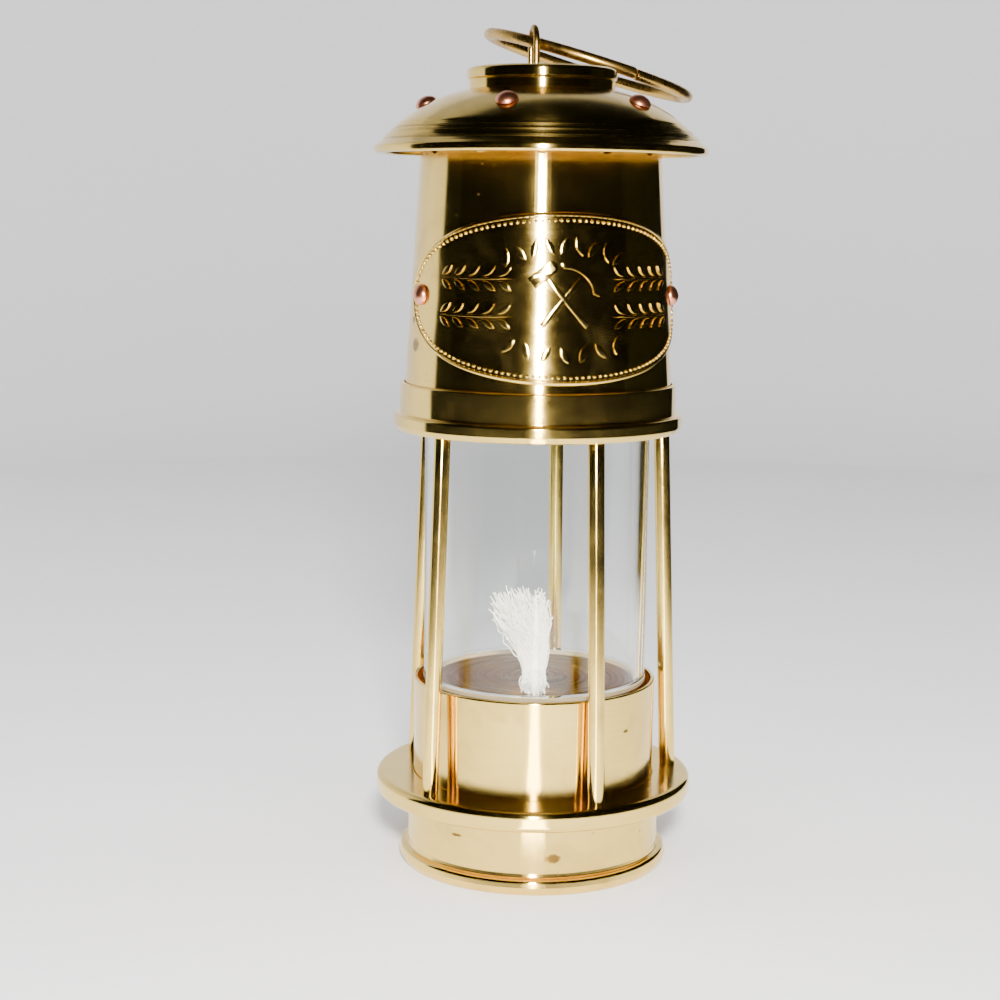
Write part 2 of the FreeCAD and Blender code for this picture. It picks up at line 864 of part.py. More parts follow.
def plate_rivet_seats():
    """Place and outward axis of the plate's two rivets."""
    height = cell.plate_z_mid.value
    radius = bonnet_radius(size_of(height)).value + 2 * PLATE_AIR + cell.plate_sheet.value
    for side in (-1, 1):
        angle = cell.plate_turn_deg.value + side * cell.plate_rivet_deg.value
        yield polar(radius, angle, height), polar(1, angle, TAPER)


def plate_rivet_holes():
    """Tool for the holes of the plate's rivets."""
    shank_r = cell.rivet_shank_d.value / 2
    tools = [Part.makeCylinder(shank_r, 12, place - axis * 6, axis)
             for place, axis in plate_rivet_seats()]
    return tools[0].fuse(tools[1:])


def make_name_plate():
    """Oval name plate bent round the bonnet."""
    steps = 24
    shares = [math.sin(math.pi / 2 * (2 * step / steps - 1)) for step in range(steps + 1)]
    plate = Part.makeLoft([plate_section(share) for share in shares], True, False)
    return shaped("name_plate", plate.cut(plate_rivet_holes()))


def make_plate_rivets():
    """Two copper rivets that fix the name plate to the bonnet."""
    grip = cell.plate_sheet.value + cell.bonnet_wall.value + PLATE_AIR * 5
    pattern = rivet(cell.plate_rivet_head_d.value, cell.rivet_head_tall.value,
                    cell.rivet_shank_d.value, grip, 1.0)
    solids = [seated(pattern, place, axis) for place, axis in plate_rivet_seats()]
    return shaped("plate_rivets", Part.makeCompound(solids))


# ---------------------------------------------------------------- assembly and files

make_vessel_shell()
make_vessel_plate()
make_vessel_bottom()
make_wadding()
make_burner_washer()
make_burner_plug()
make_wick_tube()
make_wick()
make_gasket("lower_glass_washer", cell.plate_z + cell.plate_thick,
            cell.glass_foot_z - cell.plate_z - cell.plate_thick)
make_glass()
make_gasket("upper_glass_washer", cell.glass_top_z, cell.gasket_thick)
make_flange_ring()
make_pillars()
make_glass_ring()
make_gauze_ring()
make_gauze()
make_bonnet()
make_crown()
make_hood()
make_hood_rivets()
make_cap()
make_staple()
make_carry_ring()
make_name_plate()
make_plate_rivets()
doc.recompute()

failed = [item.Name for item in doc.Objects if "Invalid" in item.State or "Error" in item.State]
if failed:
    raise RuntimeError(f"failed: {failed}")
for node in nodes:
    if node.Shape.isNull() or not node.Shape.isValid():
        raise RuntimeError(f"{node.Label} has no valid shape")

os.makedirs("parts", exist_ok=True)
for node in nodes:
    node.Shape.exportStep(f"parts/{node.Label}.step")
    print(f"{node.Label:22s} {len(node.Shape.Solids)} solid(s) {node.Shape.Volume:10.1f} mm3")
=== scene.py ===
"""Looks of the miner's safety lamp: polished brass, copper rivets, chimney glass and cotton wick.

The mechanical frame gives every place and size; the pieces here are finer skins of its parts.
"""

import json
import math

import bmesh
import bpy
from mathutils import Matrix, Vector


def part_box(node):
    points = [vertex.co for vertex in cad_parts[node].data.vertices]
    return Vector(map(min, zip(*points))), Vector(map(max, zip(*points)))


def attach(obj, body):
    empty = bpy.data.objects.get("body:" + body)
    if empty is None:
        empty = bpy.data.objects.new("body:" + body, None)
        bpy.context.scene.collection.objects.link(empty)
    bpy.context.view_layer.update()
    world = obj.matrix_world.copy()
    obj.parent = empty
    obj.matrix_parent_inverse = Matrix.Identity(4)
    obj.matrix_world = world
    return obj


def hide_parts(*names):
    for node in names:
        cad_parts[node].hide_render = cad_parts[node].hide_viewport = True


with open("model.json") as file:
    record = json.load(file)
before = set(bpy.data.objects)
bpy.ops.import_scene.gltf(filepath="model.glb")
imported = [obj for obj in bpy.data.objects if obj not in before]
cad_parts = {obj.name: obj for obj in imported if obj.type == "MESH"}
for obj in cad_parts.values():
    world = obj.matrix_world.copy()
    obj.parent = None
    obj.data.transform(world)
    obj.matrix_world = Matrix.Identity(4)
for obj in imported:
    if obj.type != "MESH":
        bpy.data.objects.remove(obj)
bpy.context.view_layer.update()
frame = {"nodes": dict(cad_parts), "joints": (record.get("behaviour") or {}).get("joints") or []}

bl_info = {
    "name": "Miner's Safety Lamp",
    "version": (1, 0, 0),
    "blender": (4, 5, 0),
    "location": "3D View > Sidebar > Safety Lamp",
    "description": "Builds the visible pieces of a brass flame safety lamp round its mechanical frame",
    "category": "Object",
}

MM = 0.001
TAU = 2 * math.pi
# olive black that polished metal reflects: the world's dark in front of the lamp, and a painted reflection on
# the sweep
REFLECTED_DARK = "#13140D"


# ---------------------------------------------------------------- places read from the frame

def low(node):
    """Height of a node's lowest point."""
    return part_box(node)[0].z


def high(node):
    """Height of a node's highest point."""
    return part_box(node)[1].z


def reach(node):
    """Radius of a node that stands round the lamp's axis."""
    bottom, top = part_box(node)
    return (top.x - bottom.x) / 2


def node_points(node):
    """The corners of a node's mesh."""
    return [vertex.co.copy() for vertex in frame["nodes"][node].data.vertices]


# ---------------------------------------------------------------- properties

def length(name, description, default):
    """A length property in metres."""
    return bpy.props.FloatProperty(
        name=name, description=description, default=default, min=0.0,
        subtype="DISTANCE", unit="LENGTH", precision=5)


def tint(name, description, code):
    """A colour property from an sRGB hex code."""
    return bpy.props.FloatVectorProperty(
        name=name, description=description, default=linear(code)[:3],
        subtype="COLOR", size=3, min=0.0, max=1.0)


def linear(code):
    """Linear RGBA of an sRGB hex code."""
    channels = [int(code[place:place + 2], 16) / 255 for place in (1, 3, 5)]
    return tuple(c / 12.92 if c <= 0.04045 else ((c + 0.055) / 1.055) ** 2.4 for c in channels) + (1.0,)


class LampSizes(bpy.types.PropertyGroup):
    """Sizes that a user may change without touching the frame."""

    facets: bpy.props.IntProperty(
        name="Facets", description="Facets round a turned piece", default=192, min=24, max=512)
    bead_pitch: length("Bead pitch", "Distance between the beads of the plate's border", 1.75 * MM)
    bead_radius: length("Bead radius", "Radius of one bead of the plate's border", 0.5 * MM)
    relief: length("Relief", "How far the plate's ornament stands out", 0.5 * MM)
    gauze_rings: bpy.props.IntProperty(
        name="Gauze rings", description="Level wires of the gauze", default=54, min=4, max=120)
    gauze_wires: bpy.props.IntProperty(
        name="Gauze wires", description="Upright wires of the gauze", default=96, min=8, max=200)
    gauze_wire: length("Gauze wire", "Radius of the gauze's wire, coarser than the real 0.2 mm", 0.22 * MM)
    strands: bpy.props.IntProperty(
        name="Wick strands", description="Yarns of the frayed wick", default=760, min=20, max=2000)
    yarn: length("Yarn radius", "Radius of one cotton yarn", 0.15 * MM)


class LampColours(bpy.types.PropertyGroup):
    """Base colours of the lamp's materials."""

    brass: tint("Brass", "Polished yellow brass", "#F1D070")
    turned: tint("Turned brass", "Dull turned brass of the font's top", "#86682F")
    copper: tint("Copper", "Copper rivets", "#E99C7C")
    wire: tint("Brass wire", "Handled drawn brass wire", "#CFA858")
    cotton: tint("Cotton", "Bleached cotton yarn", "#FBFAF6")
    steel: tint("Gauze steel", "Dark wire of the gauze", "#6E6A64")
    fibre: tint("Fibre", "Pressed fibre washers", "#9A8A6C")
    glass: tint("Glass", "Clear chimney glass", "#FAFDFB")


def sizes():
    """The scene's lamp sizes."""
    return bpy.context.scene.lamp_sizes


def colours():
    """The scene's lamp colours."""
    return bpy.context.scene.lamp_colours


# ---------------------------------------------------------------- node trees

def add(tree, kind, inputs=None, **settings):
    """Add a node with its settings, and set or link its inputs by name or number."""
    node = tree.nodes.new(kind)
    for key, value in settings.items():
        setattr(node, key, value)
    for key, value in (inputs or {}).items():
        if isinstance(value, bpy.types.NodeSocket):
            tree.links.new(value, node.inputs[key])
        else:
            node.inputs[key].default_value = value
    return node


def new_material(name):
    """A material with an empty tree and a linked Principled shader, as (material, tree, shader)."""
    material = bpy.data.materials.new(name)
    material.use_nodes = True
    tree = material.node_tree
    tree.nodes.clear()
    shader = add(tree, "ShaderNodeBsdfPrincipled")
    output = add(tree, "ShaderNodeOutputMaterial")
    tree.links.new(shader.outputs["BSDF"], output.inputs["Surface"])
    return material, tree, shader


def spot(tree, place, centre, across, tall):
    """Factor of one ragged stain or pit, across wide and tall high, centred on a point in millimetres."""
    ragged = add(tree, "ShaderNodeTexNoise", {"Vector": place, "Scale": 1 / (1.1 * MM), "Detail": 4.0})
    moved = add(tree, "ShaderNodeVectorMath", {
        0: place, 1: tuple(-value * MM for value in centre)}, operation="ADD")
    shrunk = add(tree, "ShaderNodeVectorMath", {
        0: moved.outputs[0], 1: (2 / across / MM, 2 / across / MM, 2 / tall / MM)}, operation="MULTIPLY")
    away = add(tree, "ShaderNodeVectorMath", {0: shrunk.outputs[0]}, operation="LENGTH")
    rough_edge = add(tree, "ShaderNodeMath", {
        0: away.outputs["Value"], 1: ragged.outputs["Fac"]}, operation="ADD")
    return add(tree, "ShaderNodeMapRange", {
        "Value": rough_edge.outputs[0], "From Min": 1.05, "From Max": 1.5,
        "To Min": 0.85, "To Max": 0.0}).outputs[0]


def metal(name, colour, rough, spread, tarnish, groove_mm, groove_depth, stain=0.25,
          run=0.85, spots=(), streak=0.05, band=(0.0, 0.0), edge="#FFFFFF"):
    """Turned or drawn metal whose fine marks run round the lamp's axis.

    rough is the polish between marks and rough + spread where it is handled or dull; tarnish is
    the darker colour of the thin oxide; grooves are groove_mm apart and groove_depth deep; run is
    how strongly the marks stretch a highlight; spots are (centre, across, tall) of single stains;
    streak is how much the marks darken; band is a pair of radii in millimetres with coarser marks;
    edge is the tint of the metal seen at a grazing angle. Real polish marks are finer than a tenth
    of a millimetre; they are drawn 0.6 to 0.9 mm apart, as coarse as they need to be to show.
    """
    material, tree, shader = new_material(name)
    place = add(tree, "ShaderNodeTexCoord").outputs["Object"]
    split = add(tree, "ShaderNodeSeparateXYZ", {"Vector": place})
    across = add(tree, "ShaderNodeVectorMath", {0: place, 1: (1, 1, 0)}, operation="MULTIPLY")
    radius = add(tree, "ShaderNodeVectorMath", {0: across.outputs[0]}, operation="LENGTH")
    angle = add(tree, "ShaderNodeMath", {0: split.outputs["Y"], 1: split.outputs["X"]}, operation="ARCTAN2")
    turned = add(tree, "ShaderNodeCombineXYZ", {
        "X": radius.outputs["Value"], "Y": split.outputs["Z"]})
    scaled = add(tree, "ShaderNodeVectorMath", {
        0: turned.outputs[0], "Scale": 1 / (groove_mm * MM)}, operation="SCALE")
    slow = add(tree, "ShaderNodeMath", {0: angle.outputs[0], 1: 0.35}, operation="MULTIPLY")
    marks_at = add(tree, "ShaderNodeVectorMath", {
        0: scaled.outputs[0],
        1: add(tree, "ShaderNodeCombineXYZ", {"Z": slow.outputs[0]}).outputs[0]}, operation="ADD")
    marks = add(tree, "ShaderNodeTexNoise", {
        "Vector": marks_at.outputs[0], "Scale": 1.0, "Detail": 3.0, "Roughness": 0.6})
    # broad clouds of thin oxide, about 14 mm across, and specks of about 1 mm
    clouds = add(tree, "ShaderNodeTexNoise", {
        "Vector": place, "Scale": 1 / (14 * MM), "Detail": 5.0, "Roughness": 0.62, "Distortion": 0.6})
    cloud = add(tree, "ShaderNodeMapRange", {
        "Value": clouds.outputs["Fac"], "From Min": 0.48, "From Max": 0.74, "To Max": stain})
    specks = add(tree, "ShaderNodeTexVoronoi", {
        "Vector": place, "Scale": 1 / (5.5 * MM), "Randomness": 1.0})
    speck = add(tree, "ShaderNodeMapRange", {
        "Value": specks.outputs["Distance"], "From Min": 0.05, "From Max": 0.11,
        "To Min": 0.55, "To Max": 0.0})
    thin = add(tree, "ShaderNodeTexNoise", {"Vector": place, "Scale": 1 / (40 * MM), "Detail": 2.0})
    few = add(tree, "ShaderNodeMapRange", {
        "Value": thin.outputs["Fac"], "From Min": 0.52, "From Max": 0.6})
    dots = add(tree, "ShaderNodeMath", {0: speck.outputs[0], 1: few.outputs[0]}, operation="MULTIPLY")
    dull = add(tree, "ShaderNodeMath", {0: cloud.outputs[0], 1: dots.outputs[0]}, operation="MAXIMUM")
    in_band = add(tree, "ShaderNodeMath", {
        0: radius.outputs["Value"], 1: (band[0] + band[1]) / 2 * MM, 2: (band[1] - band[0]) / 2 * MM},
        operation="COMPARE")
    depth = add(tree, "ShaderNodeMath", {
        0: in_band.outputs[0], 1: 0.05 * MM, 2: groove_depth * MM}, operation="MULTIPLY_ADD")
    heavy = add(tree, "ShaderNodeMath", {
        0: in_band.outputs[0], 1: 0.7, 2: streak}, operation="MULTIPLY_ADD")
    lined = add(tree, "ShaderNodeMapRange", {
        "Value": marks.outputs["Fac"], "From Min": 0.46, "From Max": 0.66, "To Max": heavy.outputs[0]})
    dull = add(tree, "ShaderNodeMath", {0: dull.outputs[0], 1: lined.outputs[0]}, operation="MAXIMUM")
    for stained in spots:
        dull = add(tree, "ShaderNodeMath", {
            0: dull.outputs[0], 1: spot(tree, place, *stained)}, operation="MAXIMUM")
    base = add(tree, "ShaderNodeMix", {
        "Factor": dull.outputs[0], 6: (*colour, 1.0), 7: linear(tarnish)}, data_type="RGBA")
    # smears of handling, about 9 mm across, change only the polish
    smears = add(tree, "ShaderNodeTexNoise", {
        "Vector": place, "Scale": 1 / (9 * MM), "Detail": 6.0, "Roughness": 0.7})
    rub = add(tree, "ShaderNodeMapRange", {
        "Value": smears.outputs["Fac"], "From Min": 0.35, "From Max": 0.8,
        "To Min": rough, "To Max": rough + spread})
    worn = add(tree, "ShaderNodeMath", {
        0: rub.outputs[0], 1: add(tree, "ShaderNodeMath", {
            0: dull.outputs[0], 1: 0.3}, operation="MULTIPLY").outputs[0]}, operation="ADD")
    bump = add(tree, "ShaderNodeBump", {
        "Strength": 1.0, "Distance": depth.outputs[0], "Height": marks.outputs["Fac"]})
    tree.links.new(base.outputs[2], shader.inputs["Base Color"])
    tree.links.new(worn.outputs[0], shader.inputs["Roughness"])
    tree.links.new(bump.outputs["Normal"], shader.inputs["Normal"])
    # the marks run round the axis, so light spreads up and down across them
    round_axis = add(tree, "ShaderNodeCombineXYZ", {
        "X": add(tree, "ShaderNodeMath", {0: split.outputs["Y"], 1: -1.0}, operation="MULTIPLY").outputs[0],
        "Y": split.outputs["X"]})
    tree.links.new(round_axis.outputs[0], shader.inputs["Tangent"])
    shader.inputs["Anisotropic"].default_value = run
    shader.inputs["Specular Tint"].default_value = linear(edge)
    shader.inputs["Anisotropic Rotation"].default_value = 0.25
    shader.inputs["Metallic"].default_value = 1.0
    return material


def polished_brass(spots=(), band=(0.0, 0.0)):
    """Spun and buffed yellow brass: mirror bright, with faint buffing marks round the axis."""
    return metal("polished_spun_brass", colours().brass, 0.1, 0.06, "#7A5A28", 0.9, 0.004, 0.2, 0.93,
                 spots, band=band)


def turned_brass():
    """Turned brass left from the tool: rings of cutter marks, dull gold, no mirror."""
    return metal("turned_brass", colours().turned, 0.3, 0.14, "#574420", 0.9, 0.014, 0.4,
                 streak=0.75, edge="#A98A5C")


def stamped_brass():
    """Brass sheet stamped in relief: bright on the high spots, tarnished in the field."""
    return metal("stamped_brass_plate", colours().brass, 0.1, 0.07, "#6E5426", 0.7, 0.002, 0.4, 0.7)


def drawn_brass():
    """Drawn brass wire: handled dull gold, a little streaked along its length."""
    return metal("drawn_brass_wire", colours().wire, 0.22, 0.14, "#6A4C20", 0.8, 0.002, 0.65, 0.0)


def polished_copper():
    """Copper rivet heads snapped to a dome and buffed: pinkish, with darker handling."""
    return metal("snapped_copper", colours().copper, 0.26, 0.14, "#9A5A42", 0.6, 0.004, 0.35, 0.0)


def gauze_steel():
    """Fine steel wire darkened by heat: grey-brown, barely glossy."""
    return metal("heat_darkened_steel_wire", colours().steel, 0.42, 0.15, "#2E2A28", 0.8, 0.002, 0.5)


def pressed_fibre():
    """Pressed fibre sheet: matt tan with a fine paper tooth, grains about 0.4 mm."""
    material, tree, shader = new_material("pressed_fibre")
    place = add(tree, "ShaderNodeTexCoord").outputs["Object"]
    grain = add(tree, "ShaderNodeTexNoise", {"Vector": place, "Scale": 1 / (0.4 * MM), "Detail": 4.0})
    shade = add(tree, "ShaderNodeMix", {
        "Factor": grain.outputs["Fac"], 6: (*colours().fibre, 1.0), 7: linear("#6F6249")}, data_type="RGBA")
    bump = add(tree, "ShaderNodeBump", {"Distance": 0.05 * MM, "Height": grain.outputs["Fac"]})
    tree.links.new(shade.outputs[2], shader.inputs["Base Color"])
    tree.links.new(bump.outputs["Normal"], shader.inputs["Normal"])
    shader.inputs["Roughness"].default_value = 0.85
    return material


def bleached_cotton():
    """Loose bleached cotton yarn: white, matt, soft edges that catch light."""
    material, tree, shader = new_material("bleached_cotton_yarn")
    place = add(tree, "ShaderNodeTexCoord").outputs["Object"]
    lint = add(tree, "ShaderNodeTexNoise", {"Vector": place, "Scale": 1 / (0.7 * MM), "Detail": 5.0})
    shade = add(tree, "ShaderNodeMix", {
        "Factor": lint.outputs["Fac"], 6: (*colours().cotton, 1.0), 7: linear("#CFC9BA")}, data_type="RGBA")
    bump = add(tree, "ShaderNodeBump", {"Distance": 0.08 * MM, "Height": lint.outputs["Fac"]})
    tree.links.new(shade.outputs[2], shader.inputs["Base Color"])
    tree.links.new(bump.outputs["Normal"], shader.inputs["Normal"])
    shader.inputs["Roughness"].default_value = 0.9
    shader.inputs["Sheen Weight"].default_value = 0.4
    shader.inputs["Subsurface Weight"].default_value = 0.15
    shader.inputs["Subsurface Radius"].default_value = (0.6 * MM, 0.5 * MM, 0.4 * MM)
    return material


def chimney_glass():
    """Drawn glass tube: clear, with slow waves of thickness about 30 mm long."""
    material, tree, shader = new_material("drawn_chimney_glass")
    place = add(tree, "ShaderNodeTexCoord").outputs["Object"]
    stretched = add(tree, "ShaderNodeMapping", {"Vector": place, "Scale": (1, 1, 0.3)})
    wave = add(tree, "ShaderNodeTexNoise", {
        "Vector": stretched.outputs[0], "Scale": 1 / (30 * MM), "Detail": 1.0})
    bump = add(tree, "ShaderNodeBump", {"Distance": 0.15 * MM, "Height": wave.outputs["Fac"]})
    tree.links.new(bump.outputs["Normal"], shader.inputs["Normal"])
    shader.inputs["Base Color"].default_value = (*colours().glass, 1.0)
    shader.inputs["Roughness"].default_value = 0.0
    shader.inputs["IOR"].default_value = 1.5
    shader.inputs["Transmission Weight"].default_value = 1.0
    # clear glass hardly shades what stands inside it
    clear = add(tree, "ShaderNodeBsdfTransparent", {"Color": (0.93, 0.95, 0.94, 1.0)})
    shadow = add(tree, "ShaderNodeLightPath").outputs["Is Shadow Ray"]
    both = add(tree, "ShaderNodeMixShader", {0: shadow, 1: shader.outputs[0], 2: clear.outputs[0]})
    output = next(node for node in tree.nodes if node.type == "OUTPUT_MATERIAL")
    tree.links.new(both.outputs[0], output.inputs["Surface"])
    return material


# ---------------------------------------------------------------- making and placing pieces

def finish_piece(obj, body, material, slot, *nodes):
    """Give a piece its material and body, and let it stand for its CAD nodes; slot is not used."""
    obj.data.materials.clear()
    obj.data.materials.append(material)
    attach(obj, body)
    if nodes:
        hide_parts(*nodes)
    return obj


def object_from(name, mesh):
    """Link a mesh as an object at the origin."""
    obj = bpy.data.objects.new(name, mesh)
    bpy.context.scene.collection.objects.link(obj)
    return obj


def smooth(mesh, degrees=32):
    """Smooth shading with edges kept sharp past an angle."""
    mesh.shade_smooth()
    mesh.set_sharp_from_angle(angle=math.radians(degrees))


def eased(corners, steps=5, guard=0.12 * MM):
    """Outline with its corners rounded: entries are (r, z) or (r, z, easing radius).

    Guard points near the ends of long straight runs keep their shading flat.
    """
    points = []
    count = len(corners)
    for index, corner in enumerate(corners):
        here = Vector(corner[:2])
        before = Vector(corners[index - 1][:2]) - here
        after = Vector(corners[(index + 1) % count][:2]) - here
        ease = corner[2] if len(corner) > 2 else 0.0
        half = before.angle(after) / 2 if before.length and after.length else math.pi / 2
        back = ease / math.tan(half) if ease else 0.0
        back = min(back, before.length * 0.48, after.length * 0.48)
        first = here + before.normalized() * back
        last = here + after.normalized() * back
        if before.length > 8 * guard:
            points.append(first + before.normalized() * guard)
        if back:
            centre = here + (before.normalized() + after.normalized()).normalized() * (back / math.cos(half))
            arm, end = first - centre, last - centre
            swing = arm.angle_signed(end)
            for step in range(steps + 1):
                points.append(centre + Matrix.Rotation(-swing * step / steps, 2) @ arm)
        else:
            points.append(here)
        if after.length > 8 * guard:
            points.append(last + after.normalized() * guard)
    return points


def lathe(name, outline, closed=True):
    """Mesh object turned about the lamp's axis from (r, z) points, faces outward."""
    facets = sizes().facets
    mesh = bpy.data.meshes.new(name)
    work = bmesh.new()
    rows = []
    for r, z in outline:
        if r < 1e-6:
            rows.append([work.verts.new((0, 0, z))] * facets)
            continue
        rows.append([work.verts.new((r * math.cos(TAU * k / facets), r * math.sin(TAU * k / facets), z))
                     for k in range(facets)])
    pairs = list(zip(rows, rows[1:] + rows[:1])) if closed else list(zip(rows, rows[1:]))
    for inner, outer in pairs:
        for k in range(facets):
            ring = [inner[k], inner[(k + 1) % facets], outer[(k + 1) % facets], outer[k]]
            corners = list(dict.fromkeys(ring))
            if len(corners) > 2:
                work.faces.new(corners)
    bmesh.ops.recalc_face_normals(work, faces=work.faces)
    work.to_mesh(mesh)
    work.free()
    smooth(mesh)
    return object_from(name, mesh)


def apply_modifiers(obj):
    """Replace an object's mesh by its evaluated one and drop the modifiers."""
    graph = bpy.context.evaluated_depsgraph_get()
    mesh = bpy.data.meshes.new_from_object(obj.evaluated_get(graph))
    obj.modifiers.clear()
    obj.data = mesh
    return obj


def tube(name, points, radius, facets=24, closed=False, cap_ease=0.25):
    """Round wire along points, with eased flat ends where it is open."""
    work = bmesh.new()
    rows = []
    count = len(points)
    normal = None
    shares = [1.0] * count
    stations = list(points)
    if not closed:
        first = (stations[1] - stations[0]).normalized()
        last = (stations[-1] - stations[-2]).normalized()
        lip = radius * cap_ease
        stations[0:1] = [stations[0], stations[0] + first * lip * 0.3, stations[0] + first * lip]
        stations[-1:] = [stations[-1] - last * lip, stations[-1] - last * lip * 0.3, stations[-1]]
        shares = [1 - cap_ease, 1 - cap_ease * 0.3, 1.0] + [1.0] * (count - 2) + [
            1.0, 1 - cap_ease * 0.3, 1 - cap_ease]
    end_at = len(stations) - 1
    for index, here in enumerate(stations):
        ahead = stations[(index + 1) % len(stations)] if closed else stations[min(index + 1, end_at)]
        behind = stations[index - 1] if closed or index else stations[0]
        along = (ahead - behind).normalized()
        if normal is None:
            normal = along.orthogonal().normalized()
        normal = (normal - along * normal.dot(along)).normalized()
        side = along.cross(normal)
        rows.append([work.verts.new(here + (normal * math.cos(TAU * k / facets) + side * math.sin(
            TAU * k / facets)) * radius * shares[index]) for k in range(facets)])
    pairs = list(zip(rows, rows[1:] + rows[:1])) if closed else list(zip(rows, rows[1:]))
    for near, far in pairs:
        for k in range(facets):
            work.faces.new([near[k], near[(k + 1) % facets], far[(k + 1) % facets], far[k]])
    if not closed:
        work.faces.new(rows[0][::-1])
        work.faces.new(rows[-1])
    bmesh.ops.recalc_face_normals(work, faces=work.faces)
    mesh = bpy.data.meshes.new(name)
    work.to_mesh(mesh)
    work.free()
    smooth(mesh, 40)
    return object_from(name, mesh)


def join(name, parts):
    """One object from several, with their places kept in the mesh."""
    work = bmesh.new()
    for part in parts:
        part.data.transform(part.matrix_world)
        work.from_mesh(part.data)
    mesh = bpy.data.meshes.new(name)
    work.to_mesh(mesh)
    work.free()
    for part in parts:
        bpy.data.objects.remove(part)
    smooth(mesh)
    return object_from(name, mesh)


# ---------------------------------------------------------------- geometry node trees

def geometry_tree(name, inputs):
    """A geometry tree with named inputs, as (tree, group input node, identifiers by name)."""
    tree = bpy.data.node_groups.new(name, "GeometryNodeTree")
    tree.interface.new_socket("Geometry", in_out="OUTPUT", socket_type="NodeSocketGeometry")
    ids = {}
    for label, kind in inputs.items():
        ids[label] = tree.interface.new_socket(label, in_out="INPUT", socket_type=kind).identifier
    return tree, add(tree, "NodeGroupInput"), ids


def grow(name, tree, ids, values, start=None):
    """Run a geometry tree on a new object and keep its result as a plain mesh."""
    obj = object_from(name, start or bpy.data.meshes.new(name))
    modifier = obj.modifiers.new("grow", "NODES")
    modifier.node_group = tree
    for label, value in values.items():
        modifier[ids[label]] = value
    apply_modifiers(obj)
    bpy.data.node_groups.remove(tree)
    return obj


def close_tree(tree, geometry, material):
    """End a tree: realise instances, set the material and hand the geometry out."""
    real = add(tree, "GeometryNodeRealizeInstances", {"Geometry": geometry})
    done = add(tree, "GeometryNodeSetMaterial", {"Geometry": real.outputs[0], "Material": material})
    add(tree, "NodeGroupOutput", {"Geometry": done.outputs[0]})


def beads_tree():
    """Beads at an even pitch along the edges of the given mesh."""
    tree, given, ids = geometry_tree("plate_beads", {
        "Border": "NodeSocketGeometry", "Pitch": "NodeSocketFloat",
        "Bead Radius": "NodeSocketFloat", "Material": "NodeSocketMaterial"})
    curve = add(tree, "GeometryNodeMeshToCurve", {"Mesh": given.outputs["Border"]})
    spaced = add(tree, "GeometryNodeResampleCurve", {
        "Curve": curve.outputs[0], "Length": given.outputs["Pitch"]}, mode="LENGTH")
    bead = add(tree, "GeometryNodeMeshUVSphere", {
        "Segments": 12, "Rings": 8, "Radius": given.outputs["Bead Radius"]})
    beads = add(tree, "GeometryNodeInstanceOnPoints", {
        "Points": spaced.outputs[0], "Instance": bead.outputs["Mesh"]})
    round_off = add(tree, "GeometryNodeSetShadeSmooth", {"Geometry": beads.outputs[0]})
    close_tree(tree, round_off.outputs[0], given.outputs["Material"])
    return tree, ids


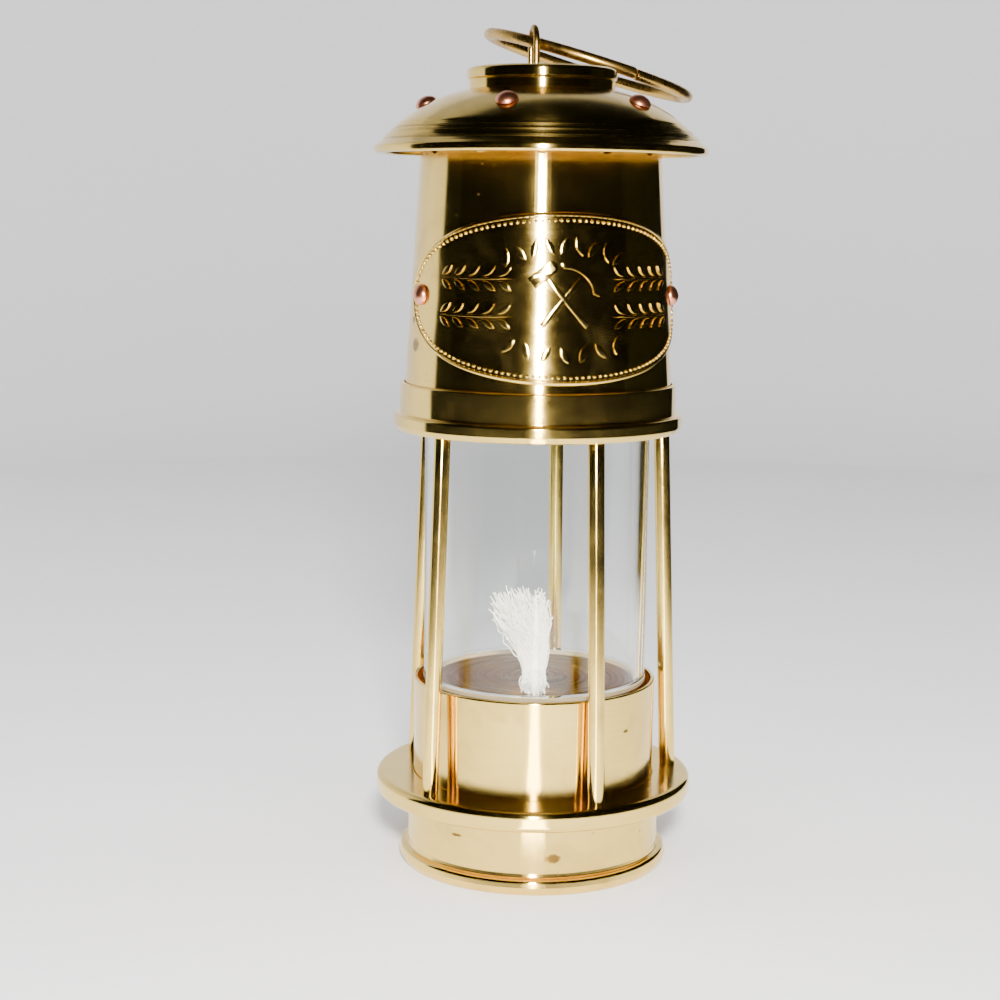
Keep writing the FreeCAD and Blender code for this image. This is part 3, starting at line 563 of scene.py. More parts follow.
def gauze_tree():
    """Level rings and leaning upright wires of a tapered gauze thimble with a flat top."""
    tree, given, ids = geometry_tree("gauze_wires", {
        "Foot Radius": "NodeSocketFloat", "Head Radius": "NodeSocketFloat",
        "Foot": "NodeSocketFloat", "Tall": "NodeSocketFloat", "Rings": "NodeSocketInt",
        "Wires": "NodeSocketInt", "Wire Radius": "NodeSocketFloat", "Material": "NodeSocketMaterial"})
    out = given.outputs
    index = add(tree, "GeometryNodeInputIndex").outputs[0]
    last = add(tree, "ShaderNodeMath", {0: out["Rings"], 1: 1.0}, operation="SUBTRACT")
    share = add(tree, "ShaderNodeMath", {0: index, 1: last.outputs[0]}, operation="DIVIDE")
    step = add(tree, "ShaderNodeMath", {0: out["Tall"], 1: last.outputs[0]}, operation="DIVIDE")
    levels = add(tree, "GeometryNodeMeshLine", {
        "Count": out["Rings"],
        "Start Location": add(tree, "ShaderNodeCombineXYZ", {"Z": out["Foot"]}).outputs[0],
        "Offset": add(tree, "ShaderNodeCombineXYZ", {"Z": step.outputs[0]}).outputs[0]})
    width = add(tree, "ShaderNodeMapRange", {
        "Value": share.outputs[0], "To Min": out["Foot Radius"], "To Max": out["Head Radius"]})
    hoop = add(tree, "GeometryNodeCurvePrimitiveCircle", {"Resolution": 64, "Radius": 1.0})
    hoops = add(tree, "GeometryNodeInstanceOnPoints", {
        "Points": levels.outputs["Mesh"], "Instance": hoop.outputs["Curve"],
        "Scale": add(tree, "ShaderNodeCombineXYZ", {
            "X": width.outputs[0], "Y": width.outputs[0], "Z": 1.0}).outputs[0]})
    head = add(tree, "ShaderNodeMath", {0: out["Foot"], 1: out["Tall"]}, operation="ADD")
    upright = add(tree, "GeometryNodeCurvePrimitiveLine", {
        "Start": add(tree, "ShaderNodeCombineXYZ", {"X": out["Foot Radius"], "Z": out["Foot"]}).outputs[0],
        "End": add(tree, "ShaderNodeCombineXYZ", {"X": out["Head Radius"], "Z": head.outputs[0]}).outputs[0]})
    spots = add(tree, "GeometryNodeMeshLine", {"Count": out["Wires"], "Offset": (0, 0, 0)})
    part = add(tree, "ShaderNodeMath", {0: index, 1: out["Wires"]}, operation="DIVIDE")
    turn = add(tree, "ShaderNodeMath", {0: part.outputs[0], 1: TAU}, operation="MULTIPLY")
    uprights = add(tree, "GeometryNodeInstanceOnPoints", {
        "Points": spots.outputs["Mesh"], "Instance": upright.outputs["Curve"],
        "Rotation": add(tree, "ShaderNodeCombineXYZ", {"Z": turn.outputs[0]}).outputs[0]})
    both = add(tree, "GeometryNodeJoinGeometry")
    for source in (hoops, uprights):
        tree.links.new(source.outputs[0], both.inputs[0])
    real = add(tree, "GeometryNodeRealizeInstances", {"Geometry": both.outputs[0]})
    section = add(tree, "GeometryNodeCurvePrimitiveCircle", {"Resolution": 5, "Radius": out["Wire Radius"]})
    wires = add(tree, "GeometryNodeCurveToMesh", {
        "Curve": real.outputs[0], "Profile Curve": section.outputs["Curve"]})
    close_tree(tree, wires.outputs[0], out["Material"])
    return tree, ids


def fray_tree():
    """Cotton yarns that rise together from the tube and spread into a frayed tuft."""
    tree, given, ids = geometry_tree("wick_fray", {
        "Strands": "NodeSocketInt", "Foot Radius": "NodeSocketFloat", "Tuft Radius": "NodeSocketFloat",
        "Foot": "NodeSocketFloat", "Tall": "NodeSocketFloat", "Lean": "NodeSocketVector",
        "Yarn Radius": "NodeSocketFloat", "Seed": "NodeSocketInt", "Material": "NodeSocketMaterial"})
    out = given.outputs

    def maths(operation, first, second=0.0):
        return add(tree, "ShaderNodeMath", {0: first, 1: second}, operation=operation).outputs[0]

    spots = add(tree, "GeometryNodeMeshLine", {"Count": out["Strands"], "Offset": (0, 0, 0)})
    line = add(tree, "GeometryNodeCurvePrimitiveLine", {"End": (0, 0, 1)})
    fine = add(tree, "GeometryNodeResampleCurve", {"Curve": line.outputs[0], "Count": 10})
    many = add(tree, "GeometryNodeInstanceOnPoints", {
        "Points": spots.outputs["Mesh"], "Instance": fine.outputs[0]})
    real = add(tree, "GeometryNodeRealizeInstances", {"Geometry": many.outputs[0]})
    strand = add(tree, "GeometryNodeCurveOfPoint").outputs["Curve Index"]

    def chance(least, most, salt):
        return add(tree, "FunctionNodeRandomValue", {
            2: least, 3: most, "ID": strand,
            "Seed": maths("ADD", out["Seed"], float(salt))}).outputs[1]

    along = add(tree, "GeometryNodeSplineParameter").outputs["Factor"]
    turn = chance(0.0, TAU, 1)
    fill = maths("POWER", chance(0.0, 1.0, 2), 0.5)
    reach_up = chance(0.66, 1.0, 3)
    bend = maths("POWER", along, 1.7)
    width = add(tree, "ShaderNodeMapRange", {
        "Value": bend, "To Min": out["Foot Radius"], "To Max": out["Tuft Radius"]}).outputs[0]
    spin = maths("ADD", turn, maths("MULTIPLY", along, chance(-0.9, 0.9, 4)))
    away = maths("MULTIPLY", width, fill)
    x = maths("MULTIPLY", away, maths("COSINE", spin))
    y = maths("MULTIPLY", away, maths("SINE", spin))
    z = maths("ADD", out["Foot"], maths("MULTIPLY", maths("MULTIPLY", out["Tall"], reach_up), along))
    kink_at = add(tree, "ShaderNodeCombineXYZ", {
        "X": maths("MULTIPLY", along, 3.5), "Y": chance(0.0, 90.0, 5), "Z": chance(0.0, 90.0, 6)})
    kink = add(tree, "ShaderNodeTexNoise", {"Vector": kink_at.outputs[0], "Scale": 1.0, "Detail": 2.0})
    centred = add(tree, "ShaderNodeVectorMath", {
        0: kink.outputs["Color"], 1: (0.5, 0.5, 0.5)}, operation="SUBTRACT")
    strength = maths("MULTIPLY", maths("MULTIPLY", along, out["Tuft Radius"]), 1.5)
    wander = add(tree, "ShaderNodeVectorMath", {
        0: add(tree, "ShaderNodeVectorMath", {
            0: centred.outputs[0], "Scale": strength}, operation="SCALE").outputs[0],
        1: add(tree, "ShaderNodeVectorMath", {
            0: out["Lean"], "Scale": bend}, operation="SCALE").outputs[0]}, operation="ADD")
    position = add(tree, "ShaderNodeVectorMath", {
        0: add(tree, "ShaderNodeCombineXYZ", {"X": x, "Y": y, "Z": z}).outputs[0],
        1: wander.outputs[0]}, operation="ADD")
    placed = add(tree, "GeometryNodeSetPosition", {
        "Geometry": real.outputs[0], "Position": position.outputs[0]})
    section = add(tree, "GeometryNodeCurvePrimitiveCircle", {"Resolution": 4, "Radius": out["Yarn Radius"]})
    yarns = add(tree, "GeometryNodeCurveToMesh", {
        "Curve": placed.outputs[0], "Profile Curve": section.outputs["Curve"]})
    close_tree(tree, yarns.outputs[0], out["Material"])
    return tree, ids


# ---------------------------------------------------------------- operators: vessel, burner, wick, glass

class LAMP_OT_vessel(bpy.types.Operator):
    """Turn the fuel vessel's shell and its top plate"""

    bl_idname = "lamp.vessel"
    bl_label = "Fuel Vessel"

    def execute(self, context):
        wall = 1.2 * MM
        top = high("vessel_shell")
        foot_r = reach("vessel_shell")
        bead = 2.4 * MM
        base_r = foot_r - 2.5 * MM
        base_top = low("flange_ring") - 0.3 * MM
        neck_r = reach("vessel_top_plate") + 1.0 * MM
        plate_top = high("vessel_top_plate")
        outline = eased([
            (foot_r - 3.2 * MM, 0.0),
            (foot_r - 1.1 * MM, 0.0, 1.0 * MM),
            (foot_r, bead * 0.8, 1.6 * MM),
            (foot_r - 0.5 * MM, bead * 1.9, 1.2 * MM),
            (base_r + 0.25 * MM, bead * 2.05, 0.35 * MM),
            (base_r, bead * 2.5, 0.5 * MM),
            (base_r, base_top, 0.6 * MM),
            (neck_r + 0.5 * MM, base_top, 0.2 * MM),
            (neck_r + 0.5 * MM, high("flange_ring") - 1.2 * MM),
            (neck_r, high("flange_ring") - 1.0 * MM),
            (neck_r, top, 0.45 * MM),
            (neck_r - 1.0 * MM, top, 0.3 * MM),
            (neck_r - 1.0 * MM, plate_top - 0.4 * MM),
            (neck_r - 1.0 * MM - wall, plate_top - wall),
            (neck_r - wall, plate_top - 2.5 * wall),
            (neck_r - wall, base_top - wall),
            (base_r - wall, base_top - 1.5 * wall),
            (base_r - wall, 1.2 * MM),
            (foot_r - 3.2 * MM, 1.2 * MM),
        ])
        shell = lathe("vessel_shell_spun", outline)
        finish_piece(shell, "vessel", polished_brass(spots=(
            ((-22.6, -30.5, 15.1), 4.4, 1.2),
            ((5.6, -37.6, 10.5), 5.6, 3.4),
            ((26.5, -24.7, 45.0), 2.8, 1.2),
        )), "polished_brass", "vessel_shell")
        plate_r = reach("vessel_top_plate")
        bore = reach("burner_plug") + 0.4 * MM
        under = plate_top - 1.2 * MM
        rings = []
        for share in (0.36, 0.52, 0.7, 0.86):
            r = bore + (plate_r - bore) * share
            rings += [(r + 0.35 * MM, plate_top), (r, plate_top - 0.12 * MM), (r - 0.35 * MM, plate_top)]
        plate = lathe("vessel_top_turned", [
            (bore, under), (bore, plate_top - 0.2 * MM), (bore + 0.2 * MM, plate_top)]
            + sorted(rings) + [(plate_r, plate_top), (plate_r, under)])
        finish_piece(plate, "vessel", turned_brass(), "turned_brass", "vessel_top_plate")
        return {"FINISHED"}


class LAMP_OT_burner(bpy.types.Operator):
    """Turn the burner's head, with a knurled edge, and its wick tube"""

    bl_idname = "lamp.burner"
    bl_label = "Burner"

    def execute(self, context):
        head_r = reach("burner_plug")
        top = high("burner_plug")
        seat = top - 1.1 * MM
        bore = reach("wick_tube")
        head = lathe("burner_head", eased([
            (bore, low("burner_plug")),
            (bore + 2.1 * MM, low("burner_plug"), 0.4 * MM),
            (bore + 2.1 * MM, seat),
            (head_r, seat, 0.15 * MM),
            (head_r, top, 0.35 * MM),
            (head_r - 2.0 * MM, top),
            (head_r - 2.4 * MM, top - 0.3 * MM),
            (bore + 0.6 * MM, top - 0.3 * MM),
            (bore, top - 0.3 * MM),
        ]))
        # shallow flutes in the rim give fingers a hold
        for vertex in head.data.vertices:
            r = math.hypot(vertex.co.x, vertex.co.y)
            if r > head_r - 0.5 * MM and vertex.co.z > seat:
                flute = 0.12 * MM * (0.5 + 0.5 * math.cos(48 * math.atan2(vertex.co.y, vertex.co.x)))
                vertex.co.xy = vertex.co.xy * (1 - flute / r)
        finish_piece(head, "burner", turned_brass(), "turned_brass", "burner_plug")
        wall = 0.5 * MM
        pipe = lathe("wick_tube_drawn", eased([
            (bore - wall, low("wick_tube")), (bore, low("wick_tube")),
            (bore, high("wick_tube"), 0.15 * MM), (bore - wall, high("wick_tube"), 0.15 * MM)]))
        finish_piece(pipe, "burner", turned_brass(), "turned_brass", "wick_tube")
        return {"FINISHED"}


class LAMP_OT_wick(bpy.types.Operator):
    """Grow the cotton wick's frayed yarns out of the tube"""

    bl_idname = "lamp.wick"
    bl_label = "Wick"

    def execute(self, context):
        cotton = bleached_cotton()
        mouth = high("wick_tube")
        cord_r = 3.4 * MM
        tall = high("wick") - mouth
        tree, ids = fray_tree()
        tuft = grow("wick_fray", tree, ids, {
            "Strands": sizes().strands, "Foot Radius": cord_r, "Tuft Radius": 8.4 * MM,
            "Foot": mouth - 2.0 * MM, "Tall": tall + 1.4 * MM, "Lean": (-4.2 * MM, 0.0, 0.0),
            "Yarn Radius": sizes().yarn, "Seed": 7, "Material": cotton})
        # loose yarns that droop forward over the burner on to the font's top
        tree, ids = fray_tree()
        droop = grow("wick_droop", tree, ids, {
            "Strands": sizes().strands // 3, "Foot Radius": cord_r, "Tuft Radius": 3.4 * MM,
            "Foot": mouth - 1.0 * MM, "Tall": 9.0 * MM, "Lean": (-0.5 * MM, -24.0 * MM, -5.6 * MM),
            "Yarn Radius": sizes().yarn, "Seed": 11, "Material": cotton})
        cord = lathe("wick_cord", eased([
            (0.0, low("wick")), (cord_r, low("wick"), 0.8 * MM),
            (cord_r, mouth + 5.0 * MM), (cord_r * 0.95, mouth + 10.0 * MM, 1.0 * MM),
            (0.0, mouth + 13.0 * MM)]), closed=False)
        # three plies twisted along the cord
        for vertex in cord.data.vertices:
            twist = math.atan2(vertex.co.y, vertex.co.x) * 3 + vertex.co.z / (2.2 * MM)
            vertex.co.xy = vertex.co.xy * (0.94 - 0.05 * math.cos(twist))
        wick = join("wick_cotton", [tuft, droop, cord])
        finish_piece(wick, "wick", cotton, "cotton", "wick")
        return {"FINISHED"}


class LAMP_OT_glass(bpy.types.Operator):
    """Draw the chimney glass with fire-polished ends"""

    bl_idname = "lamp.glass"
    bl_label = "Chimney Glass"

    def execute(self, context):
        outer = reach("glass_chimney")
        inner = outer - 2.6 * MM
        bottom, top = low("glass_chimney"), high("glass_chimney")
        ease = 0.8 * MM
        glass = lathe("chimney_glass_tube", eased([
            (inner, bottom, ease), (outer, bottom, ease), (outer, top, ease), (inner, top, ease)], steps=7))
        finish_piece(glass, "glass", chimney_glass(), "chimney_glass", "glass_chimney")
        return {"FINISHED"}


# ---------------------------------------------------------------- operators: cage

class LAMP_OT_rings(bpy.types.Operator):
    """Turn the flange ring and the ring above the glass"""

    bl_idname = "lamp.rings"
    bl_label = "Rings"

    def execute(self, context):
        brass = polished_brass()
        bottom, top = low("flange_ring"), high("flange_ring")
        rim = reach("flange_ring")
        throat = reach("vessel_top_plate") + 1.15 * MM
        flange = lathe("flange_ring_turned", eased([
            (throat + 0.7 * MM, bottom),
            (rim, bottom, 1.7 * MM),
            (rim, top, 1.9 * MM),
            (throat, top, 0.25 * MM),
            (throat, top - 0.8 * MM),
            (throat + 0.7 * MM, top - 0.8 * MM),
        ], steps=8))
        finish_piece(flange, "cage", brass, "polished_brass", "flange_ring")
        bottom, top = low("glass_ring"), high("glass_ring")
        lip = reach("glass_ring")
        lip_top = bottom + 5.0 * MM
        collar = lip - 1.9 * MM
        bore = reach("glass_chimney") + 0.4 * MM
        seat = low("bonnet")
        pocket = reach("bonnet") + 0.35 * MM
        web = bore - 3.3 * MM
        ring = lathe("glass_ring_turned", eased([
            (bore, bottom, 0.3 * MM),
            (lip - 0.8 * MM, bottom, 0.8 * MM),
            (lip, bottom + 1.6 * MM, 1.2 * MM),
            (lip, lip_top, 1.1 * MM),
            (collar, lip_top + 0.05 * MM, 0.25 * MM),
            (collar, top, 0.9 * MM),
            (pocket, top, 0.2 * MM),
            (pocket, seat),
            (web, seat),
            (web, high("gauze_ring") - 3.0 * MM),
            (bore, high("gauze_ring") - 3.0 * MM),
        ], steps=7))
        finish_piece(ring, "cage", brass, "polished_brass", "glass_ring")
        return {"FINISHED"}


class LAMP_OT_pillars(bpy.types.Operator):
    """Draw the five splayed pillars as plain round rods"""

    bl_idname = "lamp.pillars"
    bl_label = "Pillars"

    def execute(self, context):
        brass = polished_brass()
        for number in range(1, 6):
            node = f"pillar_{number}"
            points = node_points(node)
            middle = (low(node) + high(node)) / 2
            feet = [p for p in points if p.z < middle]
            heads = [p for p in points if p.z > middle]
            foot = sum(feet, Vector()) / len(feet)
            head = sum(heads, Vector()) / len(heads)
            along = (head - foot).normalized()
            radius = max(((p - foot) - along * (p - foot).dot(along)).length for p in feet)
            steps = 6
            stations = [foot.lerp(head, step / steps) for step in range(steps + 1)]
            rod = tube(f"pillar_{number}_rod", stations, radius, facets=48, cap_ease=0.12)
            finish_piece(rod, "cage", brass, "polished_brass", node)
        return {"FINISHED"}


# ---------------------------------------------------------------- operators: bonnet, gauze, hood

class BonnetTaper:
    """Outer radius of the bonnet by height, straight above its collar."""

    def __init__(self):
        self.knee, self.top = high("glass_ring"), high("bonnet")
        self.foot_r, self.head_r = reach("bonnet"), top_radius("bonnet")

    def radius(self, height):
        share = max(0.0, (height - self.knee) / (self.top - self.knee))
        return self.foot_r + (self.head_r - self.foot_r) * share


def top_radius(node):
    """Radius of a node's uppermost edge."""
    top = high(node)
    return max(math.hypot(p.x, p.y) for p in node_points(node) if p.z > top - 0.05 * MM)


class LAMP_OT_bonnet(bpy.types.Operator):
    """Roll the tapered bonnet and drill its vent holes"""

    bl_idname = "lamp.bonnet"
    bl_label = "Bonnet"

    def execute(self, context):
        wall = 1.0 * MM
        foot, knee, top = low("bonnet"), high("glass_ring"), high("bonnet")
        foot_r, head_r = reach("bonnet"), top_radius("bonnet")
        bonnet = lathe("bonnet_sheet", eased([
            (foot_r - wall, foot),
            (foot_r, foot, 0.2 * MM),
            (foot_r, knee),
            (head_r, top, 0.3 * MM),
            (head_r - wall, top, 0.3 * MM),
            (foot_r - wall, knee),
        ]))
        vents, vent_r, vent_z = 12, 3.0 * MM, top - 6.3 * MM
        work = bmesh.new()
        for number in range(vents):
            place = (Matrix.Rotation(TAU * number / vents, 4, "Z")
                     @ Matrix.Translation((0, -foot_r * 0.85, vent_z))
                     @ Matrix.Rotation(math.pi / 2, 4, "X"))
            bmesh.ops.create_cone(
                work, cap_ends=True, segments=40, radius1=vent_r, radius2=vent_r,
                depth=foot_r * 0.7, matrix=place)
        mesh = bpy.data.meshes.new("vent_drill")
        work.to_mesh(mesh)
        work.free()
        drill = object_from("vent_drill", mesh)
        cut = bonnet.modifiers.new("vents", "BOOLEAN")
        cut.operation = "DIFFERENCE"
        cut.object = drill
        cut.solver = "EXACT"
        apply_modifiers(bonnet)
        bpy.data.objects.remove(drill)
        smooth(bonnet.data)
        # stains on the left of the sheet: centre, width and height in millimetres
        stains = (
            ((-35.8, -14.5, 156.0), 6.0, 4.5),
            ((-36.5, -11.5, 163.0), 3.2, 3.0),
            ((-33.3, -10.4, 211.0), 2.6, 2.2),
        )
        finish_piece(bonnet, "cage", polished_brass(spots=stains), "polished_brass", "bonnet")
        return {"FINISHED"}


class LAMP_OT_gauze(bpy.types.Operator):
    """Weave the gauze thimble inside the bonnet"""

    bl_idname = "lamp.gauze"
    bl_label = "Gauze"

    def execute(self, context):
        steel = gauze_steel()
        wire = sizes().gauze_wire
        foot_r = reach("gauze") - 2 * wire
        head_r = top_radius("gauze") - 2 * wire
        tree, ids = gauze_tree()
        gauze = grow("gauze_woven", tree, ids, {
            "Foot Radius": foot_r, "Head Radius": head_r, "Foot": low("gauze") + wire,
            "Tall": high("gauze") - low("gauze") - 2 * wire, "Rings": sizes().gauze_rings,
            "Wires": sizes().gauze_wires, "Wire Radius": wire, "Material": steel})
        finish_piece(gauze, "cage", steel, "steel_gauze", "gauze")
        return {"FINISHED"}


class LAMP_OT_hood(bpy.types.Operator):
    """Spin the hood with its rolled rim and tool rings, and the stepped cap"""

    bl_idname = "lamp.hood"
    bl_label = "Hood and Cap"

    def execute(self, context):
        rim = reach("hood")
        brass = polished_brass(band=((rim - 6.2 * MM) / MM, (rim - 2.2 * MM) / MM))
        rim_low = low("hood")
        rim_top = rim_low + 3.0 * MM
        seat = high("hood")
        bend = 44.0 * MM
        thick = 1.3 * MM
        seat_r = reach("cap") + 0.1 * MM
        shoulder = (rim - 2.2 * MM, rim_top + 0.8 * MM)
        outer = arc((seat_r, seat), shoulder, bend, 26)
        # tool rings cut just inside the rim: a shallow V, in millimetres, at each of three places
        cuts, groove = (20, 22, 24), ((-0.32, 0.13), (-0.1, -0.3), (0.32, -0.13))
        rings = []
        for place, (r, z) in enumerate(outer):
            if place in cuts:
                rings += [(r + over * MM, z + up * MM) for over, up in groove]
            else:
                rings.append((r, z))
        inner_end = (shoulder[0] - thick * 0.85, shoulder[1] - thick)
        inner = arc((seat_r, seat - thick), inner_end, bend - thick, 18)
        bore = 12.0 * MM
        rim_edge = eased([
            shoulder,
            (rim - 1.3 * MM, rim_top + 0.05 * MM, 0.4 * MM),
            (rim, rim_top - 0.9 * MM, 0.9 * MM),
            (rim, rim_low, 0.9 * MM),
            (rim - 2.4 * MM, rim_low, 0.5 * MM),
            (rim - 2.4 * MM, rim_top - thick),
            inner_end,
        ], steps=6)
        rim_edge = [tuple(p) for p in rim_edge][1:-1]
        hood = lathe("hood_spun", [(bore, seat)] + rings + rim_edge + inner[::-1] + [(bore, seat - thick)])
        finish_piece(hood, "cage", brass, "polished_brass", "hood")
        top = high("cap")
        band = top - 3.5 * MM
        cap_r = reach("cap")
        waist = cap_r - 0.6 * MM
        wall = 1.2 * MM
        cap = lathe("cap_turned", [(0.0, top)] + [tuple(p) for p in eased([
            (cap_r * 0.5, top),
            (cap_r - 1.4 * MM, top, 0.5 * MM),
            (cap_r, top - 0.6 * MM, 0.9 * MM),
            (cap_r, band + 0.3 * MM, 0.3 * MM),
            (waist, band - 0.2 * MM, 0.3 * MM),
            (waist, low("cap"), 0.15 * MM),
            (waist - wall, low("cap")),
            (waist - wall, top - wall, 0.8 * MM),
            (cap_r * 0.4, top - wall),
        ], steps=6)] + [(0.0, top - wall)], closed=False)
        finish_piece(cap, "cage", brass, "polished_brass", "cap")
        return {"FINISHED"}


def arc(start, end, radius, steps):
    """Points of a convex arc from start out and down to end, as (r, z)."""
    a, b = Vector(start), Vector(end)
    chord = b - a
    rise = math.sqrt(radius ** 2 - chord.length_squared / 4)
    centre = (a + b) / 2 + Vector((chord.y, -chord.x)).normalized() * rise
    arm = a - centre
    swing = arm.angle_signed(b - centre)
    return [tuple(centre + Matrix.Rotation(-swing * step / steps, 2) @ arm) for step in range(steps + 1)]


# ---------------------------------------------------------------- operators: rivets, staple, ring

def loose_parts(node):
    """Corner lists of a node's separate solids."""
    work = bmesh.new()
    work.from_mesh(frame["nodes"][node].data)
    bmesh.ops.remove_doubles(work, verts=work.verts, dist=0.001 * MM)
    left, groups = set(work.verts), []
    while left:
        stack, group = [left.pop()], []
        while stack:
            vertex = stack.pop()
            group.append(vertex.co.copy())
            for edge in vertex.link_edges:
                other = edge.other_vert(vertex)
                if other in left:
                    left.remove(other)
                    stack.append(other)
        groups.append(group)
    work.free()
    return groups


def rivet_profile(radius, tall, shank, deep):
    """Dome, hand-snapped with a slight flat, and its shank, as (r, z) points."""
    dome = [(radius * math.sin(a), tall * (1 - (1 - math.cos(a)) ** 0.92))
            for a in (math.pi / 2 * step / 12 for step in range(13))]
    under = -0.05 * MM
    return [(0.0, tall)] + dome[1:] + [
        (radius * 0.97, under), (shank, under), (shank, -deep), (0.0, -deep)]


def dome_rivets(name, node, head_r, head_tall, outward):
    """One domed rivet in place of each of the node's solids; outward gives each one's axis."""
    facets = sizes().facets
    sizes().facets = 40
    parts = []
    for group in loose_parts(node):
        centre = sum(group, Vector()) / len(group)
        axis = outward(centre)
        crown = max(p.dot(axis) for p in group)
        spread = [p for p in group if p.dot(axis) > crown - head_tall * 1.05]
        middle = sum(spread, Vector()) / len(spread)
        seat = middle + axis * (crown - head_tall - middle.dot(axis))
        profile = rivet_profile(head_r, head_tall, head_r * 0.48, 3.0 * MM)
        rivet = lathe(f"{name}_{len(parts)}", profile, False)
        turn = Vector((0, 0, 1)).rotation_difference(axis).to_matrix().to_4x4()
        rivet.data.transform(Matrix.Translation(seat) @ turn)
        parts.append(rivet)
    sizes().facets = facets
    return join(name, parts)


class LAMP_OT_rivets(bpy.types.Operator):
    """Snap the copper rivets of the hood and of the name plate"""

    bl_idname = "lamp.rivets"
    bl_label = "Copper Rivets"

    def execute(self, context):
        copper = polished_copper()
        lean, head_tall, bonnet_slope = math.radians(23.5), 2.3 * MM, 0.063
        hood = dome_rivets(
            "hood_rivets_snapped", "hood_rivets", 3.25 * MM, head_tall,
            lambda c: Vector((c.x, c.y, 0)).normalized() * math.sin(lean) + Vector((0, 0, math.cos(lean))))
        finish_piece(hood, "cage", copper, "copper", "hood_rivets")
        plate = dome_rivets(
            "plate_rivets_snapped", "plate_rivets", 3.0 * MM, head_tall,
            lambda c: Vector((c.x, c.y, math.hypot(c.x, c.y) * bonnet_slope)).normalized())
        finish_piece(plate, "cage", copper, "copper", "plate_rivets")
        return {"FINISHED"}


class LAMP_OT_hanger(bpy.types.Operator):
    """Bend the staple and the carrying ring with its open butt joint"""

    bl_idname = "lamp.hanger"
    bl_label = "Staple and Ring"

    def execute(self, context):
        wire = drawn_brass()
        staple_r = 0.95 * MM
        points = node_points("hanger_staple")
        foot_z = low("hanger_staple")
        feet = [p for p in points if p.z < foot_z + 0.05 * MM]
        split = (min(p.y for p in feet) + max(p.y for p in feet)) / 2
        near = [p for p in feet if p.y < split]
        far = [p for p in feet if p.y >= split]
        left = sum(far, Vector()) / len(far)
        right = sum(near, Vector()) / len(near)
        half = (right - left).length / 2
        bow_z = high("hanger_staple") - staple_r - half
        middle = (left + right) / 2
        across = (right - left).normalized()
        path = [Vector((left.x, left.y, foot_z + (bow_z - foot_z) * s / 4)) for s in range(5)]
        for step in range(1, 24):
            turn = math.pi * step / 24
            path.append(Vector((middle.x, middle.y, bow_z)) - across * half * math.cos(turn)
                        + Vector((0, 0, half * math.sin(turn))))
        path += [Vector((right.x, right.y, bow_z + (foot_z - bow_z) * s / 4)) for s in range(5)]
        staple = tube("staple_wire", path, staple_r, facets=24)
        finish_piece(staple, "cage", wire, "brass_wire", "hanger_staple")
        ring_joint = next(j for j in frame["joints"] if j["name"] == "ring_swing")
        tangent = Vector(ring_joint["axis"]).normalized()
        grip = Vector(ring_joint["pos_m"])
        points = node_points("carry_ring")
        wire_r = 1.7 * MM
        farthest = max(points, key=lambda p: (p - grip).length)
        out = (farthest - grip)
        out = (out - tangent * out.dot(tangent)).normalized()
        ring_r = ((farthest - grip).length - wire_r) / 2
        centre = grip + out * ring_r
        up = tangent.cross(out).normalized()
        side = up.cross(out).normalized()
        gap_at = joint_angle(points, centre, out, side)
        gap = math.radians(0.5)
        turns = 220
        path = []
        for step in range(turns + 1):
            angle = gap_at + gap + (TAU - 2 * gap) * step / turns
            lift = 0.35 * MM * (step / turns - 0.5) ** 7 * 128
            path.append(centre + (out * math.cos(angle) + side * math.sin(angle)) * ring_r + up * lift * 0.4)
        ring = tube("carrying_ring_wire", path, wire_r, facets=32, cap_ease=0.12)
        finish_piece(ring, "ring", wire, "brass_wire", "carry_ring")
        return {"FINISHED"}


def joint_angle(points, centre, out, side):
    """Angle of the ring's butt joint: where its end faces' corners crowd together."""
    tally = {}
    for p in points:
        degree = round(math.degrees(math.atan2((p - centre).dot(side), (p - centre).dot(out))))
        tally[degree] = tally.get(degree, 0) + 1
    best = max(tally, key=lambda degree: tally[degree] + tally.get(degree + 1, 0))
    near = {degree: tally.get(degree, 0) for degree in (best, best + 1)}
    return math.radians(sum(degree * count for degree, count in near.items()) / sum(near.values()))


# ---------------------------------------------------------------- operators: name plate

class Plate:
    """The bonnet's oval plate laid flat: s runs round the bonnet, t up it, lift out from it."""

    def __init__(self):
        bottom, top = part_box("name_plate")
        self.middle = (bottom.z + top.z) / 2
        self.half_tall = (top.z - bottom.z) / 2
        self.turn = math.radians(9.5)
        self.half_turn = math.radians(80.0)
        self.bonnet = BonnetTaper()
        self.radius = self.bonnet.radius(self.middle)
        self.half_wide = self.radius * self.half_turn
        self.thick = 1.05 * MM

    def bend(self, s, t, lift):
        """Point of the lamp for a place on the flat plate."""
        angle = self.turn + s / self.radius
        height = self.middle + t
        r = self.bonnet.radius(height) + lift
        return Vector((r * math.sin(angle), -r * math.cos(angle), height))

    def edge(self, inset, count):
        """Points (s, t) of the ellipse inset from the plate's edge."""
        return [((self.half_wide - inset) * math.cos(TAU * k / count),
                 (self.half_tall - inset) * math.sin(TAU * k / count)) for k in range(count)]


